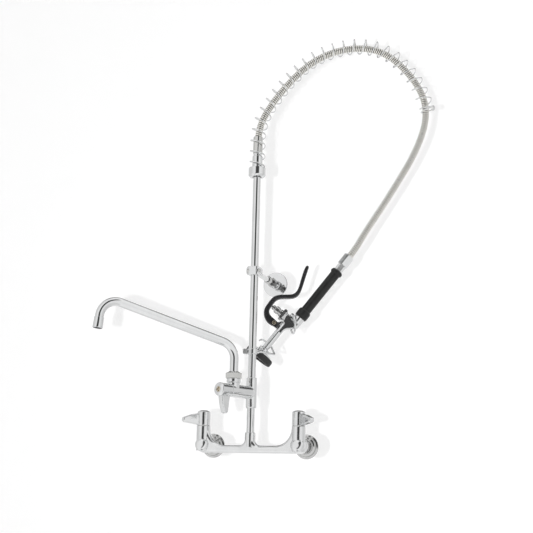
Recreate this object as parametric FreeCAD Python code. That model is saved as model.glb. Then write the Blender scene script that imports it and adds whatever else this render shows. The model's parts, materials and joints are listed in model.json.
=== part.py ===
import FreeCAD, Part
import math
import os
from FreeCAD import Matrix, Placement, Rotation, Vector

# Wall-mounted pre-rinse faucet. Millimetres, degrees.
# +X runs right along the wall, +Y goes into the wall, +Z is up.
# The origin is midway between the two wall inlets, on the wall plane.

# Mixing base
inlet_spacing = 203.2          # centre to centre of the two wall inlets
wall_to_axis = 63.5            # wall plane to the plane of the barrels and the riser
barrel_radius = 14.0
barrel_top = 38.0              # seam between barrel and handle, above the inlets
bar_top = -0.9
bar_bottom = -16.2
bar_thickness = 18.0
bar_edge_round = 7.2
barrel_blend = 35.0            # sweep of the casting from the bar up into each barrel
boss_blend = 12.0
boss_radius = 10.5
boss_top = 24.7
boss_bore_depth = 14.0
housing_radius = 14.6          # round inlet housing at the foot of each barrel
housing_rim_radius = 16.6
housing_front = 15.5           # dome in front of the barrel axis
housing_back = 14.0            # rim behind the barrel axis
waterway_radius = 4.5
waterway_half = 66.0           # the drilling along the bar ends this far from the middle
port_radius = 3.0
port_rise = 12.0               # side port above the cartridge's foot

# Wall inlets
inlet_bore_radius = 10.45      # half-inch pipe socket
inlet_bore_depth = 15.0
inlet_water_radius = 7.0
shank_radius = 11.8
shank_collar_radius = 13.0
shank_collar_length = 3.0
shank_spigot_radius = 9.3      # end that seats in the housing
union_nut_flats = 30.0
union_nut_length = 12.0
wall_flange_radius = 25.0
wall_flange_height = 14.0
flange_skin = 1.6

# Quarter-turn valves: the same cartridge, stem and lever handle three times
cartridge_bore_radius = 11.0
cartridge_length = 30.0
lock_nut_flats = 2 * cartridge_bore_radius - 3.0
lock_nut_height = 6.0
lock_nut_thread = 8.0
cartridge_neck_radius = 6.5
cartridge_neck_top = 9.0
stem_radius = 4.0
stem_top = 24.0
hub_radius = cartridge_bore_radius + 2.5
hub_height = 31.6
hub_dome = 3.0
seam_gap = 0.4
hub_cavity_depth = 11.0
lever_reach = 46.5             # hub axis to lever tip
lever_width = 12.0
lever_round = 2.6
screw_head_radius = 5.6
screw_head_height = 2.4
screw_shank_radius = 2.0
screw_length = 11.0
cross_slot_width = 2.2
base_lever_turn = 40.0         # each base lever stands this far forward of the wall line

# Riser and its nipple
pipe_radius = 8.0
pipe_bore_radius = 6.3
riser_length = 457.2
thread_depth = 13.0            # pipe length hidden in each socket
nipple_visible = 49.0          # nipple between base boss and add-on tee

# Add-on faucet on the riser
tee_radius = 11.0
tee_height = 61.7
tee_water_radius = 5.5
addon_axis_rise = 31.3         # barrel axis above the foot of the tee
addon_barrel_radius = cartridge_bore_radius + 2.3
addon_turn = 23.3              # barrel points forward, turned this far to the left
post_reach = 54.6              # riser axis to the nozzle axis
nozzle_radius = 8.75           # tube that the post carries
post_bore_radius = nozzle_radius + 2.75
post_bore_depth = 17.0
post_thread_radius = post_bore_radius + 1.1
post_thread_length = 8.5
post_radius = post_thread_radius + 1.5
post_foot_radius = post_thread_radius - 0.2
addon_seam = post_reach + post_foot_radius + 0.4      # riser axis to the seam under the handle
post_foot_rise = 15.8          # above the barrel axis, clear of the turning hub
post_top_rise = 24.5
nozzle_nut_flats = 2 * post_thread_radius + 7.0
nozzle_nut_height = 13.9
nozzle_nut_dome = 4.6

# Swing nozzle
nozzle_bore_radius = nozzle_radius - 1.45
nozzle_turn = 20.0             # nozzle swung this far forward of the picture line
nozzle_rise = 195.2            # corner of the lower bend, above the inlets
nozzle_slope = 16.3
nozzle_reach = 273.5           # nozzle axis to the corner of the outer bend
nozzle_lower_bend = 34.0
nozzle_outer_bend = 32.0
nozzle_drop = 46.6             # outer corner down to the end of the tube
nozzle_drop_lean = 6.0
sleeve_length = 15.6
seal_wire = 0.9
tip_length = 17.5
tip_overlap = 4.0
tip_top_radius = nozzle_radius + 0.85
tip_mouth_radius = tip_top_radius + 0.5
tip_bore_radius = nozzle_radius - 0.35
insert_height = 3.0
insert_hole_radius = 1.1
insert_hole_circle = 4.8
insert_hole_count = 8

# Wall bracket
bracket_below_top = 220.6      # clamp centre below the riser's upper end
bracket_reach = 152.4
clamp_height = 18.0
clamp_wall = 4.0
clamp_half_width = 16.0
clamp_round = 6.5
clamp_split = 0.8
clamp_screw_offset = 11.8
clamp_ear_depth = 7.0
arm_radius = 5.8
arm_boss_radius = 9.3
arm_boss_length = 9.0
coupling_start = 86.0
coupling_hex_start = 116.0
coupling_end = 133.0
coupling_radius = 8.4
coupling_flats = 18.0
set_screw_reach = 110.0        # riser axis to the screw that locks the sleeve
set_screw_turn = 30.0          # its lean from +X toward +Z
bracket_flange_radius = 27.8
bracket_flange_thickness = 3.2
bracket_hub_radius = 9.5
bracket_screw_radius = 2.2
bracket_screw_head = 3.6

# Riser top: spring collar, fitting and hose nut
collar_radius = 18.3
collar_height = 19.8
collar_chamfer = 3.2
collar_cup_radius = 17.4
collar_cup_depth = 9.0
collar_below_top = 15.3        # riser's upper end above the collar's foot
fitting_radius = 11.0
fitting_top = 30.4             # above the riser's upper end
fitting_neck_radius = 9.2
fitting_neck_length = 17.0
hose_nut_gap = 11.0
hose_nut_flats = 21.4
hose_nut_length = 33.0

# Overhead spring and hose, in the parking plane through the riser axis
park_turn = 17.7               # hose stands this far toward the wall from +X
hose_radius = 7.5
spring_radius = 15.7           # to the centre of the wire
spring_wire = 1.4              # wire radius
spring_turns = 29.0
spring_closed_pitch = 3.3      # the first turn and the tail lie close
spring_tail_turns = 1.5
spring_start_turn = 80.0       # where the wire starts, counted from the outer side
spring_plane_turn = 4.3        # spring leans out of the parking plane by this much

# Corners of the hose route: along the parking plane, behind it, above the hose nut.
hose_points = [
    (0.0, 0.0, 8.5),
    (11.4, 0.9, 49.2),
    (54.5, 4.1, 117.2),
    (118.1, 8.9, 185.9),
    (196.9, 14.8, 219.8),
    (275.2, 20.7, 215.4),
    (343.2, 25.9, 151.7),
    (373.2, 28.7, 80.7),
    (349.0, 33.0, -8.6),
    (279.1, 40.3, -127.1),
    (235.8, 44.3, -194.1),
]
hose_in_nut = 16.0             # length of hose held inside the nut
hose_end = (202.4, 45.0, -248.2)
hose_end_run = 22.0            # straight run into the spray valve
# The spring's centreline stands off the hose, toward the outside of the bend.
spine_points = [
    (0.0, 9.5),
    (11.2, 52.3),
    (56.4, 125.3),
    (121.8, 192.5),
    (203.0, 224.2),
    (279.8, 216.7),
    (345.4, 153.2),
    (373.0, 79.5),
]
arc_share = 0.45               # part of the shorter run that an arc may use

# Spray valve, measured along its handle from the hose end
handle_tilt = 52.6             # handle below level, pointing back toward the riser
ferrule_flats = 21.0
ferrule_length = 26.0
adapter_flats = 16.4
adapter_length = 15.0
grip_ring_radius = 13.3
grip_ring_length = 8.0
grip_radius = 10.7
grip_length = 103.0
grip_collar_radius = 13.9
grip_collar_length = 19.5
handle_tube_radius = 7.4
handle_tube_bore = 5.6
handle_tube_overlap = 9.0
body_half_thickness = 8.0
body_round = 2.2
socket_radius = 11.2
socket_length = 15.0
bonnet_station = 17.3          # along the handle, from the collar to the bonnet axis
bonnet_seat = 29.5             # bonnet flange above the handle axis
bonnet_flats = 24.0
bonnet_nut_height = 6.5
bonnet_radius = 8.1
bonnet_height = 23.0
bonnet_groove = 1.2            # depth of the groove round the bonnet
bonnet_thread_radius = 7.0
bonnet_thread_length = 8.5
bonnet_housing_radius = 9.0
chamber_radius = 7.0
chamber_floor = -5.0           # counted from the handle axis toward the lever
water_radius = 3.5
plunger_radius = 3.0
plunger_head_radius = 5.4      # the head that slides in the bonnet
plunger_head_inside = 1.5
plunger_head_show = 7.0
plunger_disc_radius = 5.4
plunger_disc_low = 6.0
plunger_disc_height = 4.0
plunger_tip_gap = 0.4
plunger_travel = 6.4
return_wire = 0.6
return_turns = 3.5
return_closed_pitch = 1.3
pivot_station = 43.2
pivot_rise = 35.8
pivot_radius = 2.5
lug_radius = 6.3
lug_half_thickness = 4.2
web_top = 19.0
lever_half_width = 8.0
lever_bow_rise = 26.4          # inner face of the lever's bow above the pivot
lever_edge_round = 2.2
neck_station = 51.0
neck_rise = 16.8
neck_radius = 7.6
neck_length = 45.0
head_length = 25.0
head_radius = 12.0
head_flange_radius = 23.0
bumper_radius = 31.0
bumper_height = 13.5
bumper_lip = 2.6
bumper_round = 3.6
spray_plate_thickness = 2.0
spray_hole_radius = 1.0
spray_hole_circle = 13.0
spray_hole_count = 12
ring_radius = 20.7
ring_wire = 2.2
ring_station = 4.6             # top of the hold-down ring, from the collar
ring_rise = 18.9
ring_tilt = 44.2
ring_swing = 13.0              # far side of the ring swung toward the spray head

# Finger hook on the riser
hook_below_neck = 16.8         # clamp centre below the point where the neck hangs
hook_neck_station = 92.0       # from the collar to that point
hook_band_wall = 2.4
hook_band_height = 11.0
hook_ear_length = 9.5
hook_ear_thickness = 2.2
hook_ear_gap = 2.4
hook_wire_radius = 2.05
hook_bend = 5.0
hook_bolt_radius = 2.4
hook_bolt_flats = 8.0
# Hook wire after its root, from the point where the neck hangs: along, behind, above.
hook_points = [(17.4, -12.0, -18.0), (8.0, 13.0, 5.0), (-10.0, 29.4, 19.9), (-16.5, 27.4, 16.3)]

# Fits
running_gap = 0.05
seat_gap = 0.1
part_gap = 0.3

riser_foot = boss_top + nipple_visible + tee_height - thread_depth
riser_top = riser_foot + riser_length
tee_foot = boss_top + nipple_visible
addon_axis = tee_foot + addon_axis_rise
bar_middle = (bar_top + bar_bottom) / 2
housing_socket = housing_back - cartridge_bore_radius - 0.6
riser_at = Vector(0, -wall_to_axis, 0)
up = Vector(0, 0, 1)
into_wall = Vector(0, 1, 0)


def cosd(angle):
    return math.cos(math.radians(angle))


def sind(angle):
    return math.sin(math.radians(angle))


def heading(angle):
    # Level direction, counted from +X toward +Y.
    return Vector(cosd(angle), sind(angle), 0)


def corner_arc(before, corner, after, radius):
    # Start, middle and end of the arc that rounds a corner.
    back = (before - corner).normalize()
    ahead = (after - corner).normalize()
    half_turn = (math.pi - back.getAngle(ahead)) / 2
    cut = radius * math.tan(half_turn)
    inward = (back + ahead).normalize()
    centre = corner + inward * (radius / math.cos(half_turn))
    return corner + back * cut, centre - inward * radius, corner + ahead * cut


def snapped(point, target):
    return target if point.distanceToPoint(target) < 1e-3 else point


def straight(start, end):
    # Nothing where the two ends already meet.
    return [] if start == end else [Part.LineSegment(start, end).toShape()]


def bent_path(points, radii):
    # Open path of straight runs joined by tangent arcs.
    edges = []
    start = points[0]
    for i, radius in enumerate(radii, 1):
        begin, middle, end = corner_arc(points[i - 1], points[i], points[i + 1], radius)
        edges += straight(start, begin) + [Part.Arc(begin, middle, end).toShape()]
        start = end
    return Part.Wire(edges + straight(start, points[-1]))


def loop_face(corners, flat):
    # Face inside a closed outline; a corner's third number is its rounding.
    points = [flat(c[0], c[1]) for c in corners]
    edges = []
    starts = []
    for i, corner in enumerate(corners):
        radius = corner[2] if len(corner) > 2 else 0
        if radius:
            after = points[(i + 1) % len(points)]
            begin, middle, end = corner_arc(points[i - 1], points[i], after, radius)
            edges.append([Part.Arc(begin, middle, end).toShape()])
            starts.append((begin, end))
        else:
            edges.append([])
            starts.append((points[i], points[i]))
    outline = []
    for i in range(len(points)):
        outline += edges[i]
        leave = starts[i][1]
        arrive = starts[(i + 1) % len(points)][0]
        if leave.distanceToPoint(arrive) > 1e-4:
            outline.append(Part.LineSegment(leave, arrive).toShape())
    return Part.Face(Part.Wire(outline))


def aimed(shape, origin, axis):
    # Moves a shape built on +Z so that it stands on origin along axis.
    moved = shape.copy()
    moved.Placement = Placement(origin, Rotation(up, axis)).multiply(shape.Placement)
    return moved


def turned(corners, origin=Vector(), axis=up):
    # Solid of revolution from (radius, height) corners.
    face = loop_face(corners, lambda r, h: Vector(r, 0, h))
    return aimed(face.revolve(Vector(), up, 360), origin, axis)


def rod(radius, low, high, origin=Vector(), axis=up):
    return aimed(Part.makeCylinder(radius, high - low, Vector(0, 0, low)), origin, axis)


def hexagon(flats, low, high, chamfer, origin=Vector(), axis=up, turn=0.0):
    # Hexagonal prism whose corners are turned off at both ends.
    corner = flats / 2 / cosd(30)
    points = [Vector(corner * cosd(turn + 60 * i), corner * sind(turn + 60 * i), low) for i in range(7)]
    prism = Part.Face(Part.makePolygon(points)).extrude(Vector(0, 0, high - low))
    drop = chamfer * 0.6
    limit = turned([(0, low), (corner - chamfer, low), (corner, low + drop),
                    (corner, high - drop), (corner - chamfer, high), (0, high)])
    return aimed(prism.common(limit), origin, axis)


def swept_tube(path, radius):
    start = path.Edges[0]
    direction = start.tangentAt(start.FirstParameter)
    circle = Part.Wire(Part.Circle(start.valueAt(start.FirstParameter), direction, radius).toShape())
    return path.makePipeShell([circle], True, False)


def plate(corners, low, high):
    # Outline in the XY plane, raised along Z.
    face = loop_face(corners, lambda x, y: Vector(x, y, low))
    return face.extrude(Vector(0, 0, high - low))


def save(name, shape):
    solids = shape.Solids
    part = solids[0] if len(solids) == 1 else Part.makeCompound(solids)
    part.exportStep("parts/%s.step" % name)
    print("%-24s solids %d volume %9.1f valid %s" % (name, len(solids), part.Volume, part.isValid()))


# Mixing base
def base_web():
    # The bar with its sweeps up into the barrels and the centre boss, seen from the front.
    side = inlet_spacing / 2
    inner = side - barrel_radius
    blend_top = bar_top + barrel_blend
    corners = [(-side, bar_bottom), (side, bar_bottom), (side, blend_top), (inner, blend_top),
               (inner, bar_top, barrel_blend - 0.01), (boss_radius, bar_top, boss_blend),
               (boss_radius, boss_top - 1), (-boss_radius, boss_top - 1),
               (-boss_radius, bar_top, boss_blend), (-inner, bar_top, barrel_blend - 0.01),
               (-inner, blend_top), (-side, blend_top)]
    face = loop_face(corners, lambda x, z: Vector(x, -wall_to_axis - bar_thickness / 2, z))
    web = face.extrude(Vector(0, bar_thickness, 0))
    long_edges = []
    for edge in web.Edges:
        box = edge.BoundBox
        in_face = box.YLength < 0.01
        hidden = box.ZLength < 0.01 and box.ZMin > 0
        at_end = box.XLength < 0.01 and abs(box.XMin) > side - 1
        if in_face and not hidden and not at_end and box.ZMax < blend_top + 1:
            long_edges.append(edge)
    return web.makeFillet(bar_edge_round, long_edges)


def base_body():
    body = base_web()
    for side in (-1, 1):
        axis_at = Vector(side * inlet_spacing / 2, -wall_to_axis, 0)
        barrel = turned([(0, bar_bottom + 4), (barrel_radius, bar_bottom + 4),
                         (barrel_radius, barrel_top, 0.6), (0, barrel_top)], axis_at)
        front = -housing_front
        housing = turned([(0, front), (housing_radius, front, 10.0), (housing_radius, 2.0, 4.0),
                          (housing_rim_radius, housing_back - 5.0, 4.0),
                          (housing_rim_radius, housing_back, 0.8), (0, housing_back)], axis_at, into_wall)
        body = body.fuse([barrel, housing])
    body = body.fuse(rod(boss_radius, bar_top - 4, boss_top, riser_at)).removeSplitter()
    cuts = [rod(pipe_radius + seat_gap, boss_top - boss_bore_depth, boss_top + 1, riser_at),
            rod(tee_water_radius, bar_top - 8, boss_top, riser_at),
            rod(waterway_radius, -waterway_half, waterway_half, Vector(0, -wall_to_axis, bar_middle),
                Vector(1, 0, 0))]
    for side in (-1, 1):
        axis_at = Vector(side * inlet_spacing / 2, -wall_to_axis, 0)
        cuts.append(rod(cartridge_bore_radius, barrel_top - cartridge_length - 1, barrel_top + 1, axis_at))
        port = Vector(side * (inlet_spacing / 2 - cartridge_bore_radius + 1), -wall_to_axis,
                      barrel_top - cartridge_length + port_rise)
        meet = Vector(side * (waterway_half - 1), -wall_to_axis, bar_middle)
        cuts.append(rod(port_radius, 0, port.distanceToPoint(meet), meet, port - meet))
        cuts.append(rod(shank_spigot_radius + seat_gap, housing_back - housing_socket,
                        housing_back + 1, axis_at, into_wall))
        cuts.append(rod(inlet_water_radius, -2, housing_back, axis_at, into_wall))
    return body.cut(cuts)


def inlet_shank(side):
    # Water pipe socket from the wall plane to the base housing.
    front = -wall_to_axis + housing_back
    foot = front - housing_socket + seat_gap
    shank = turned([(0, foot), (shank_spigot_radius, foot),
                    (shank_spigot_radius, front), (shank_collar_radius, front),
                    (shank_collar_radius, front + shank_collar_length),
                    (shank_radius, front + shank_collar_length), (shank_radius, 0), (0, 0)],
                   Vector(side * inlet_spacing / 2, 0, 0), into_wall)
    at = Vector(side * inlet_spacing / 2, 0, 0)
    return shank.cut([rod(inlet_bore_radius, -inlet_bore_depth, 1, at, into_wall),
                      rod(inlet_water_radius, -wall_to_axis, 1, at, into_wall)])


def union_nuts():
    nuts = []
    start = -wall_to_axis + housing_back + seat_gap
    for side in (-1, 1):
        at = Vector(side * inlet_spacing / 2, 0, 0)
        nut = hexagon(union_nut_flats, start, start + union_nut_length, 1.4, at, into_wall, 30)
        nuts.append(nut.cut([rod(shank_collar_radius + seat_gap, start - 1, start + shank_collar_length,
                                 at, into_wall),
                             rod(shank_radius + seat_gap, start, start + 20, at, into_wall)]))
    return Part.makeCompound(nuts)


def wall_flange(side):
    # Stepped dome pressed from sheet, its rim on the wall.
    rim = wall_flange_radius
    top = -wall_flange_height
    hole = shank_radius + part_gap
    skin = flange_skin
    return turned([(rim, 0), (rim, -2.6, 1.0), (rim - 4.2, -4.2, 1.2), (rim - 5.4, -8.0, 2.4),
                   (rim - 9.6, -9.8, 1.4), (hole + 2.2, top, 1.4), (hole, top), (hole, top + skin),
                   (hole + 1.0, top + skin), (rim - 10.4, -9.8 + skin), (rim - 6.6, -8.0 + skin),
                   (rim - 5.6, -4.2 + skin), (rim - skin, -1.2), (rim - skin, 0)],
                  Vector(side * inlet_spacing / 2, 0, 0), into_wall)


# Quarter-turn valve pieces, built on +Z with the barrel seam at zero
def cartridge():
    reach = cartridge_bore_radius - seat_gap
    body = turned([(0, -cartridge_length), (reach, -cartridge_length, 0.8), (reach, -lock_nut_thread),
                   (cartridge_neck_radius, -lock_nut_thread),
                   (cartridge_neck_radius, cartridge_neck_top, 0.6),
                   (0, cartridge_neck_top)])
    port = rod(5.0, -cartridge_length - 1, -cartridge_length + 9)
    side_port = rod(4.0, -cartridge_bore_radius - 1, cartridge_bore_radius + 1,
                    Vector(0, 0, -cartridge_length + port_rise), Vector(1, 0, 0))
    return body.cut([port, side_port, rod(stem_radius + running_gap, -20, cartridge_neck_top + 1)])


def lock_nut():
    thread = rod(cartridge_bore_radius - seat_gap, -lock_nut_thread + seat_gap, 0)
    head = hexagon(lock_nut_flats, 0, lock_nut_height, 0.8)
    hole = rod(cartridge_neck_radius + seat_gap, -lock_nut_thread - 1, lock_nut_height + 1)
    return thread.fuse(head).cut(hole).removeSplitter()


def stem():
    body = turned([(0, -19.5), (stem_radius, -19.5), (stem_radius, stem_top, 0.5), (0, stem_top)])
    return body.cut(rod(screw_shank_radius + running_gap, stem_top - screw_length, stem_top + 1))


def lever_handle():
    # Hub with a blade that runs out along +X and thins toward its tip.
    hub = turned([(0, seam_gap), (hub_radius, seam_gap, 0.5), (hub_radius, hub_height - hub_dome, 1.6),
                  (8.2, hub_height - 0.4, 8.0), (0, hub_height)])
    corners = [(0, 1.0), (10.0, 1.0), (lever_reach - 3.2, 5.8, 1.2), (lever_reach, 9.2, 1.6),
               (lever_reach - 1.0, 15.8, 2.6), (28.0, 22.4, 30.0), (14.0, 24.8), (0, 24.8)]
    face = loop_face(corners, lambda x, z: Vector(x, -lever_width / 2, z))
    blade = face.extrude(Vector(0, lever_width, 0))
    outer = [e for e in blade.Edges if e.BoundBox.YLength < 0.01 and e.BoundBox.XMax > 12]
    blade = blade.makeFillet(lever_round, outer)
    handle = hub.fuse(blade).removeSplitter()
    head_seat = stem_top + seat_gap
    return handle.cut([rod(cartridge_bore_radius + 0.6, -1, hub_cavity_depth),
                       rod(stem_radius + running_gap, 0, stem_top + seat_gap),
                       rod(screw_head_radius + seat_gap, head_seat + 4.0, hub_height + 1),
                       rod(screw_shank_radius + 0.4, 0, hub_height)])


def handle_screw():
    # Brass screw in the hub face with a cross recess.
    seat = stem_top + seat_gap + 4.0
    head = turned([(0, seat), (screw_head_radius, seat), (screw_head_radius, seat + screw_head_height, 0.8),
                   (0, seat + screw_head_height + 0.3)])
    shank = rod(screw_shank_radius, seat - screw_length, seat)
    slots = []
    for turn in (0, 90):
        slot = Part.makeBox(screw_head_radius * 1.5, cross_slot_width, 2.0,
                            Vector(-screw_head_radius * 0.75, -cross_slot_width / 2,
                                   seat + screw_head_height - 1.2))
        slot.rotate(Vector(), up, turn)
        slots.append(slot)
    return head.fuse(shank).cut(slots)


def valve_place(origin, axis, turn):
    # Stands the valve pieces on a seam; turn is the lever's heading about the axis.
    return Placement(origin, Rotation(up, axis)).multiply(Placement(Vector(), Rotation(up, turn)))


def placed(shape, place):
    moved = shape.copy()
    moved.Placement = place.multiply(shape.Placement)
    return moved


addon_heading = heading(-90 - addon_turn)
valve_places = {
    "left": valve_place(Vector(-inlet_spacing / 2, -wall_to_axis, barrel_top), up, 180 + base_lever_turn),
    "right": valve_place(Vector(inlet_spacing / 2, -wall_to_axis, barrel_top), up, -base_lever_turn),
    "addon": Placement(riser_at + Vector(0, 0, addon_axis) + addon_heading * addon_seam,
                       Rotation(Vector(0, 0, -1), addon_heading.cross(Vector(0, 0, -1)) * -1,
                                addon_heading, "ZXY")),
}


# Riser and add-on faucet
def pipe(low, high):
    body = rod(pipe_radius, low, high, riser_at)
    return body.cut(rod(pipe_bore_radius, low - 1, high + 1, riser_at))


def addon_body():
    centre = riser_at + Vector(0, 0, addon_axis)
    tee = turned([(0, tee_foot), (tee_radius - 1.2, tee_foot), (tee_radius, tee_foot + 2.0),
                  (tee_radius, tee_foot + tee_height, 0.8), (0, tee_foot + tee_height)], riser_at)
    barrel = turned([(0, 0), (tee_radius, 0), (addon_barrel_radius, 9.0, 12.0),
                     (addon_barrel_radius, addon_seam, 0.6), (0, addon_seam)], centre, addon_heading)
    post_at = centre + addon_heading * post_reach
    post = turned([(0, 0), (post_foot_radius, 0), (post_foot_radius, post_foot_rise),
                   (post_radius, post_foot_rise + 1.2), (post_radius, post_top_rise, 0.5),
                   (post_thread_radius, post_top_rise),
                   (post_thread_radius, post_top_rise + post_thread_length),
                   (0, post_top_rise + post_thread_length)], post_at)
    body = tee.fuse([barrel, post]).removeSplitter()
    socket = pipe_radius + seat_gap
    top = tee_foot + tee_height
    post_top = post_top_rise + post_thread_length
    return body.cut([
        rod(tee_water_radius, tee_foot - 1, top + 1, riser_at),
        rod(socket, tee_foot - 1, tee_foot + thread_depth, riser_at),
        rod(socket, top - thread_depth, top + 1, riser_at),
        rod(cartridge_bore_radius, addon_seam - cartridge_length - 1, addon_seam + 1, centre,
            addon_heading),
        rod(waterway_radius, 0, addon_seam, centre, addon_heading),
        rod(post_bore_radius, post_top - post_bore_depth, post_top + 1, post_at),
        rod(5.5, 0, post_top, post_at)])


post_axis = riser_at + addon_heading * post_reach
post_top = addon_axis + post_top_rise
thread_top = post_top + post_thread_length


def nozzle_nut():
    high = post_top + nozzle_nut_height
    prism = hexagon(nozzle_nut_flats, post_top, high, 0.8, post_axis, up, 48)
    corner = nozzle_nut_flats / 2 / cosd(30)
    dome = turned([(0, post_top - 1), (corner, post_top - 1), (corner, high - nozzle_nut_dome, 5.0),
                   (nozzle_radius + 1.6, high, 1.0), (0, high)], post_axis)
    thread = rod(post_thread_radius + seat_gap, post_top - 1, thread_top + seat_gap, post_axis)
    return prism.common(dome).cut([thread, rod(nozzle_radius + 0.25, post_top, high + 1, post_axis)])


def nozzle_frame():
    # Corners of the nozzle's centreline, from its foot to its end.
    out = heading(180 + park_turn + nozzle_turn)
    foot = post_axis + Vector(0, 0, thread_top - sleeve_length)
    lower = post_axis + Vector(0, 0, nozzle_rise)
    outer = lower + out * nozzle_reach + up * (nozzle_reach * math.tan(math.radians(nozzle_slope)))
    down = out * sind(nozzle_drop_lean) - up * cosd(nozzle_drop_lean)
    return foot, lower, outer, outer + down * nozzle_drop, down


def nozzle_tube():
    foot, lower, outer, end, down = nozzle_frame()
    path = bent_path([foot, lower, outer, end], [nozzle_lower_bend, nozzle_outer_bend])
    return swept_tube(path, nozzle_radius).cut(swept_tube(path, nozzle_bore_radius))


def nozzle_sleeve():
    low = thread_top - sleeve_length
    high = thread_top - seat_gap
    outer = post_bore_radius - running_gap
    groove = outer - 2 * seal_wire - 0.02
    corners = [(nozzle_radius + 0.02, low), (outer, low)]
    for level in seal_levels():
        corners += [(outer, level - 1.1), (groove, level - 1.1), (groove, level + 1.1), (outer, level + 1.1)]
    corners += [(outer, high), (nozzle_radius + 0.02, high)]
    return turned(corners, post_axis)


def seal_levels():
    return [thread_top - sleeve_length + 4.0, thread_top - sleeve_length + 9.0]


def nozzle_seals():
    major = post_bore_radius - running_gap - seal_wire
    return Part.makeCompound([Part.makeTorus(major, seal_wire, post_axis + Vector(0, 0, level))
                              for level in seal_levels()])


def nozzle_tip():
    foot, lower, outer, end, down = nozzle_frame()
    body = turned([(0, -tip_overlap), (tip_top_radius, -tip_overlap, 0.6), (tip_top_radius, -1.0),
                   (tip_mouth_radius, tip_length - 3.0, 1.0), (tip_mouth_radius, tip_length, 0.8),
                   (0, tip_length)], end, down)
    return body.cut([rod(nozzle_radius + 0.02, -tip_overlap - 1, 0, end, down),
                     rod(nozzle_bore_radius, -1, 4, end, down),
                     rod(tip_bore_radius, 4, tip_length + 1, end, down)])


def flow_insert():
    foot, lower, outer, end, down = nozzle_frame()
    disc = rod(tip_bore_radius - 0.02, 4.0, 4.0 + insert_height, end, down)
    holes = []
    for i in range(insert_hole_count):
        turn = 360 / insert_hole_count * i
        at = Vector(insert_hole_circle * cosd(turn), insert_hole_circle * sind(turn), 0)
        hole = Part.makeCylinder(insert_hole_radius, insert_height + 4, at + Vector(0, 0, 2))
        holes.append(aimed(hole, end, down))
    return disc.cut(holes)


# Wall bracket
bracket_at = riser_at + Vector(0, 0, riser_top - bracket_below_top)
set_screw_heading = Vector(cosd(set_screw_turn), 0, sind(set_screw_turn))


def bracket_half(front):
    # One half of the split clamp; the rear half carries the arm boss.
    depth = -1 if front else 1
    face = clamp_split / 2 * depth
    outer = (pipe_radius + clamp_wall + (0 if front else 1.0)) * depth
    corners = [(-clamp_half_width, face), (clamp_half_width, face),
               (clamp_half_width, clamp_ear_depth * depth, 3.0), (pipe_radius, outer, 5.0),
               (-pipe_radius, outer, 5.0), (-clamp_half_width, clamp_ear_depth * depth, 3.0)]
    block = plate(corners, -clamp_height / 2, clamp_height / 2)
    rim = rod(clamp_half_width, -clamp_height / 2 - 1, clamp_height / 2 + 1)
    half = block.common(rim.fuse(block)).copy()
    half.translate(bracket_at)
    # Ends rounded as seen from the front.
    wide = loop_face([(-clamp_half_width, -clamp_height / 2, clamp_round),
                      (clamp_half_width, -clamp_height / 2, clamp_round),
                      (clamp_half_width, clamp_height / 2, clamp_round),
                      (-clamp_half_width, clamp_height / 2, clamp_round)],
                     lambda x, z: bracket_at + Vector(x, -30, z)).extrude(Vector(0, 60, 0))
    half = half.common(wide)
    if not front:
        boss = turned([(0, pipe_radius), (arm_boss_radius, pipe_radius),
                       (arm_boss_radius, clamp_ear_depth + arm_boss_length, 1.5),
                       (0, clamp_ear_depth + arm_boss_length)], bracket_at, into_wall)
        half = half.fuse(boss).removeSplitter()
    cuts = [rod(pipe_radius + seat_gap, -30, 30, bracket_at)]
    for side in (-1, 1):
        at = bracket_at + Vector(side * clamp_screw_offset, 0, 0)
        cuts.append(rod(bracket_screw_radius + seat_gap, -20, 20, at, into_wall))
        if front:
            cuts.append(rod(bracket_screw_head + seat_gap, -20, -clamp_ear_depth + 2.0, at, into_wall))
    if not front:
        cuts.append(rod(arm_radius + seat_gap, pipe_radius + 2.0, 40, bracket_at, into_wall))
    return half.cut(cuts)


def bracket_screws():
    screws = []
    for side in (-1, 1):
        at = bracket_at + Vector(side * clamp_screw_offset, 0, 0)
        head = turned([(0, -clamp_ear_depth + 2.0), (bracket_screw_head, -clamp_ear_depth + 2.0),
                       (bracket_screw_head, -clamp_ear_depth - 0.6, 0.8), (0, -clamp_ear_depth - 0.6)],
                      at, into_wall)
        shank = rod(bracket_screw_radius, -clamp_ear_depth + 2.0, clamp_ear_depth - 1.0, at, into_wall)
        slot = Part.makeBox(10, 1.6, 1.2, at + Vector(-5, -clamp_ear_depth - 1.0, -0.8))
        screws.append(head.fuse(shank).cut(slot))
    return Part.makeCompound(screws)


def bracket_arm():
    return rod(arm_radius, pipe_radius + 2.0 + seat_gap, bracket_reach - bracket_flange_thickness,
               bracket_at, into_wall)


def bracket_coupling():
    # Round sleeve with a hexagon at the wall end, screwed on the arm.
    sleeve = turned([(0, coupling_start), (coupling_radius - 1.0, coupling_start, 0.5),
                     (coupling_radius, coupling_start + 4.0, 1.0), (coupling_radius, coupling_hex_start),
                     (0, coupling_hex_start)], bracket_at, into_wall)
    nut = hexagon(coupling_flats, coupling_hex_start, coupling_end, 1.0, bracket_at, into_wall)
    bore = rod(arm_radius + seat_gap, coupling_start - 1, coupling_end + 1, bracket_at, into_wall)
    screw_hole = rod(bracket_screw_radius + seat_gap, 0, 20,
                     bracket_at + Vector(0, set_screw_reach, 0), set_screw_heading)
    return sleeve.fuse(nut).cut([bore, screw_hole])


def bracket_set_screw():
    at = bracket_at + Vector(0, set_screw_reach, 0)
    body = rod(bracket_screw_radius, arm_radius + 0.02, coupling_radius + 1.6, at, set_screw_heading)
    head = turned([(0, coupling_radius + 0.4), (3.2, coupling_radius + 0.4),
                   (3.2, coupling_radius + 2.6, 0.5), (0, coupling_radius + 2.6)], at, set_screw_heading)
    return body.fuse(head)


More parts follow.
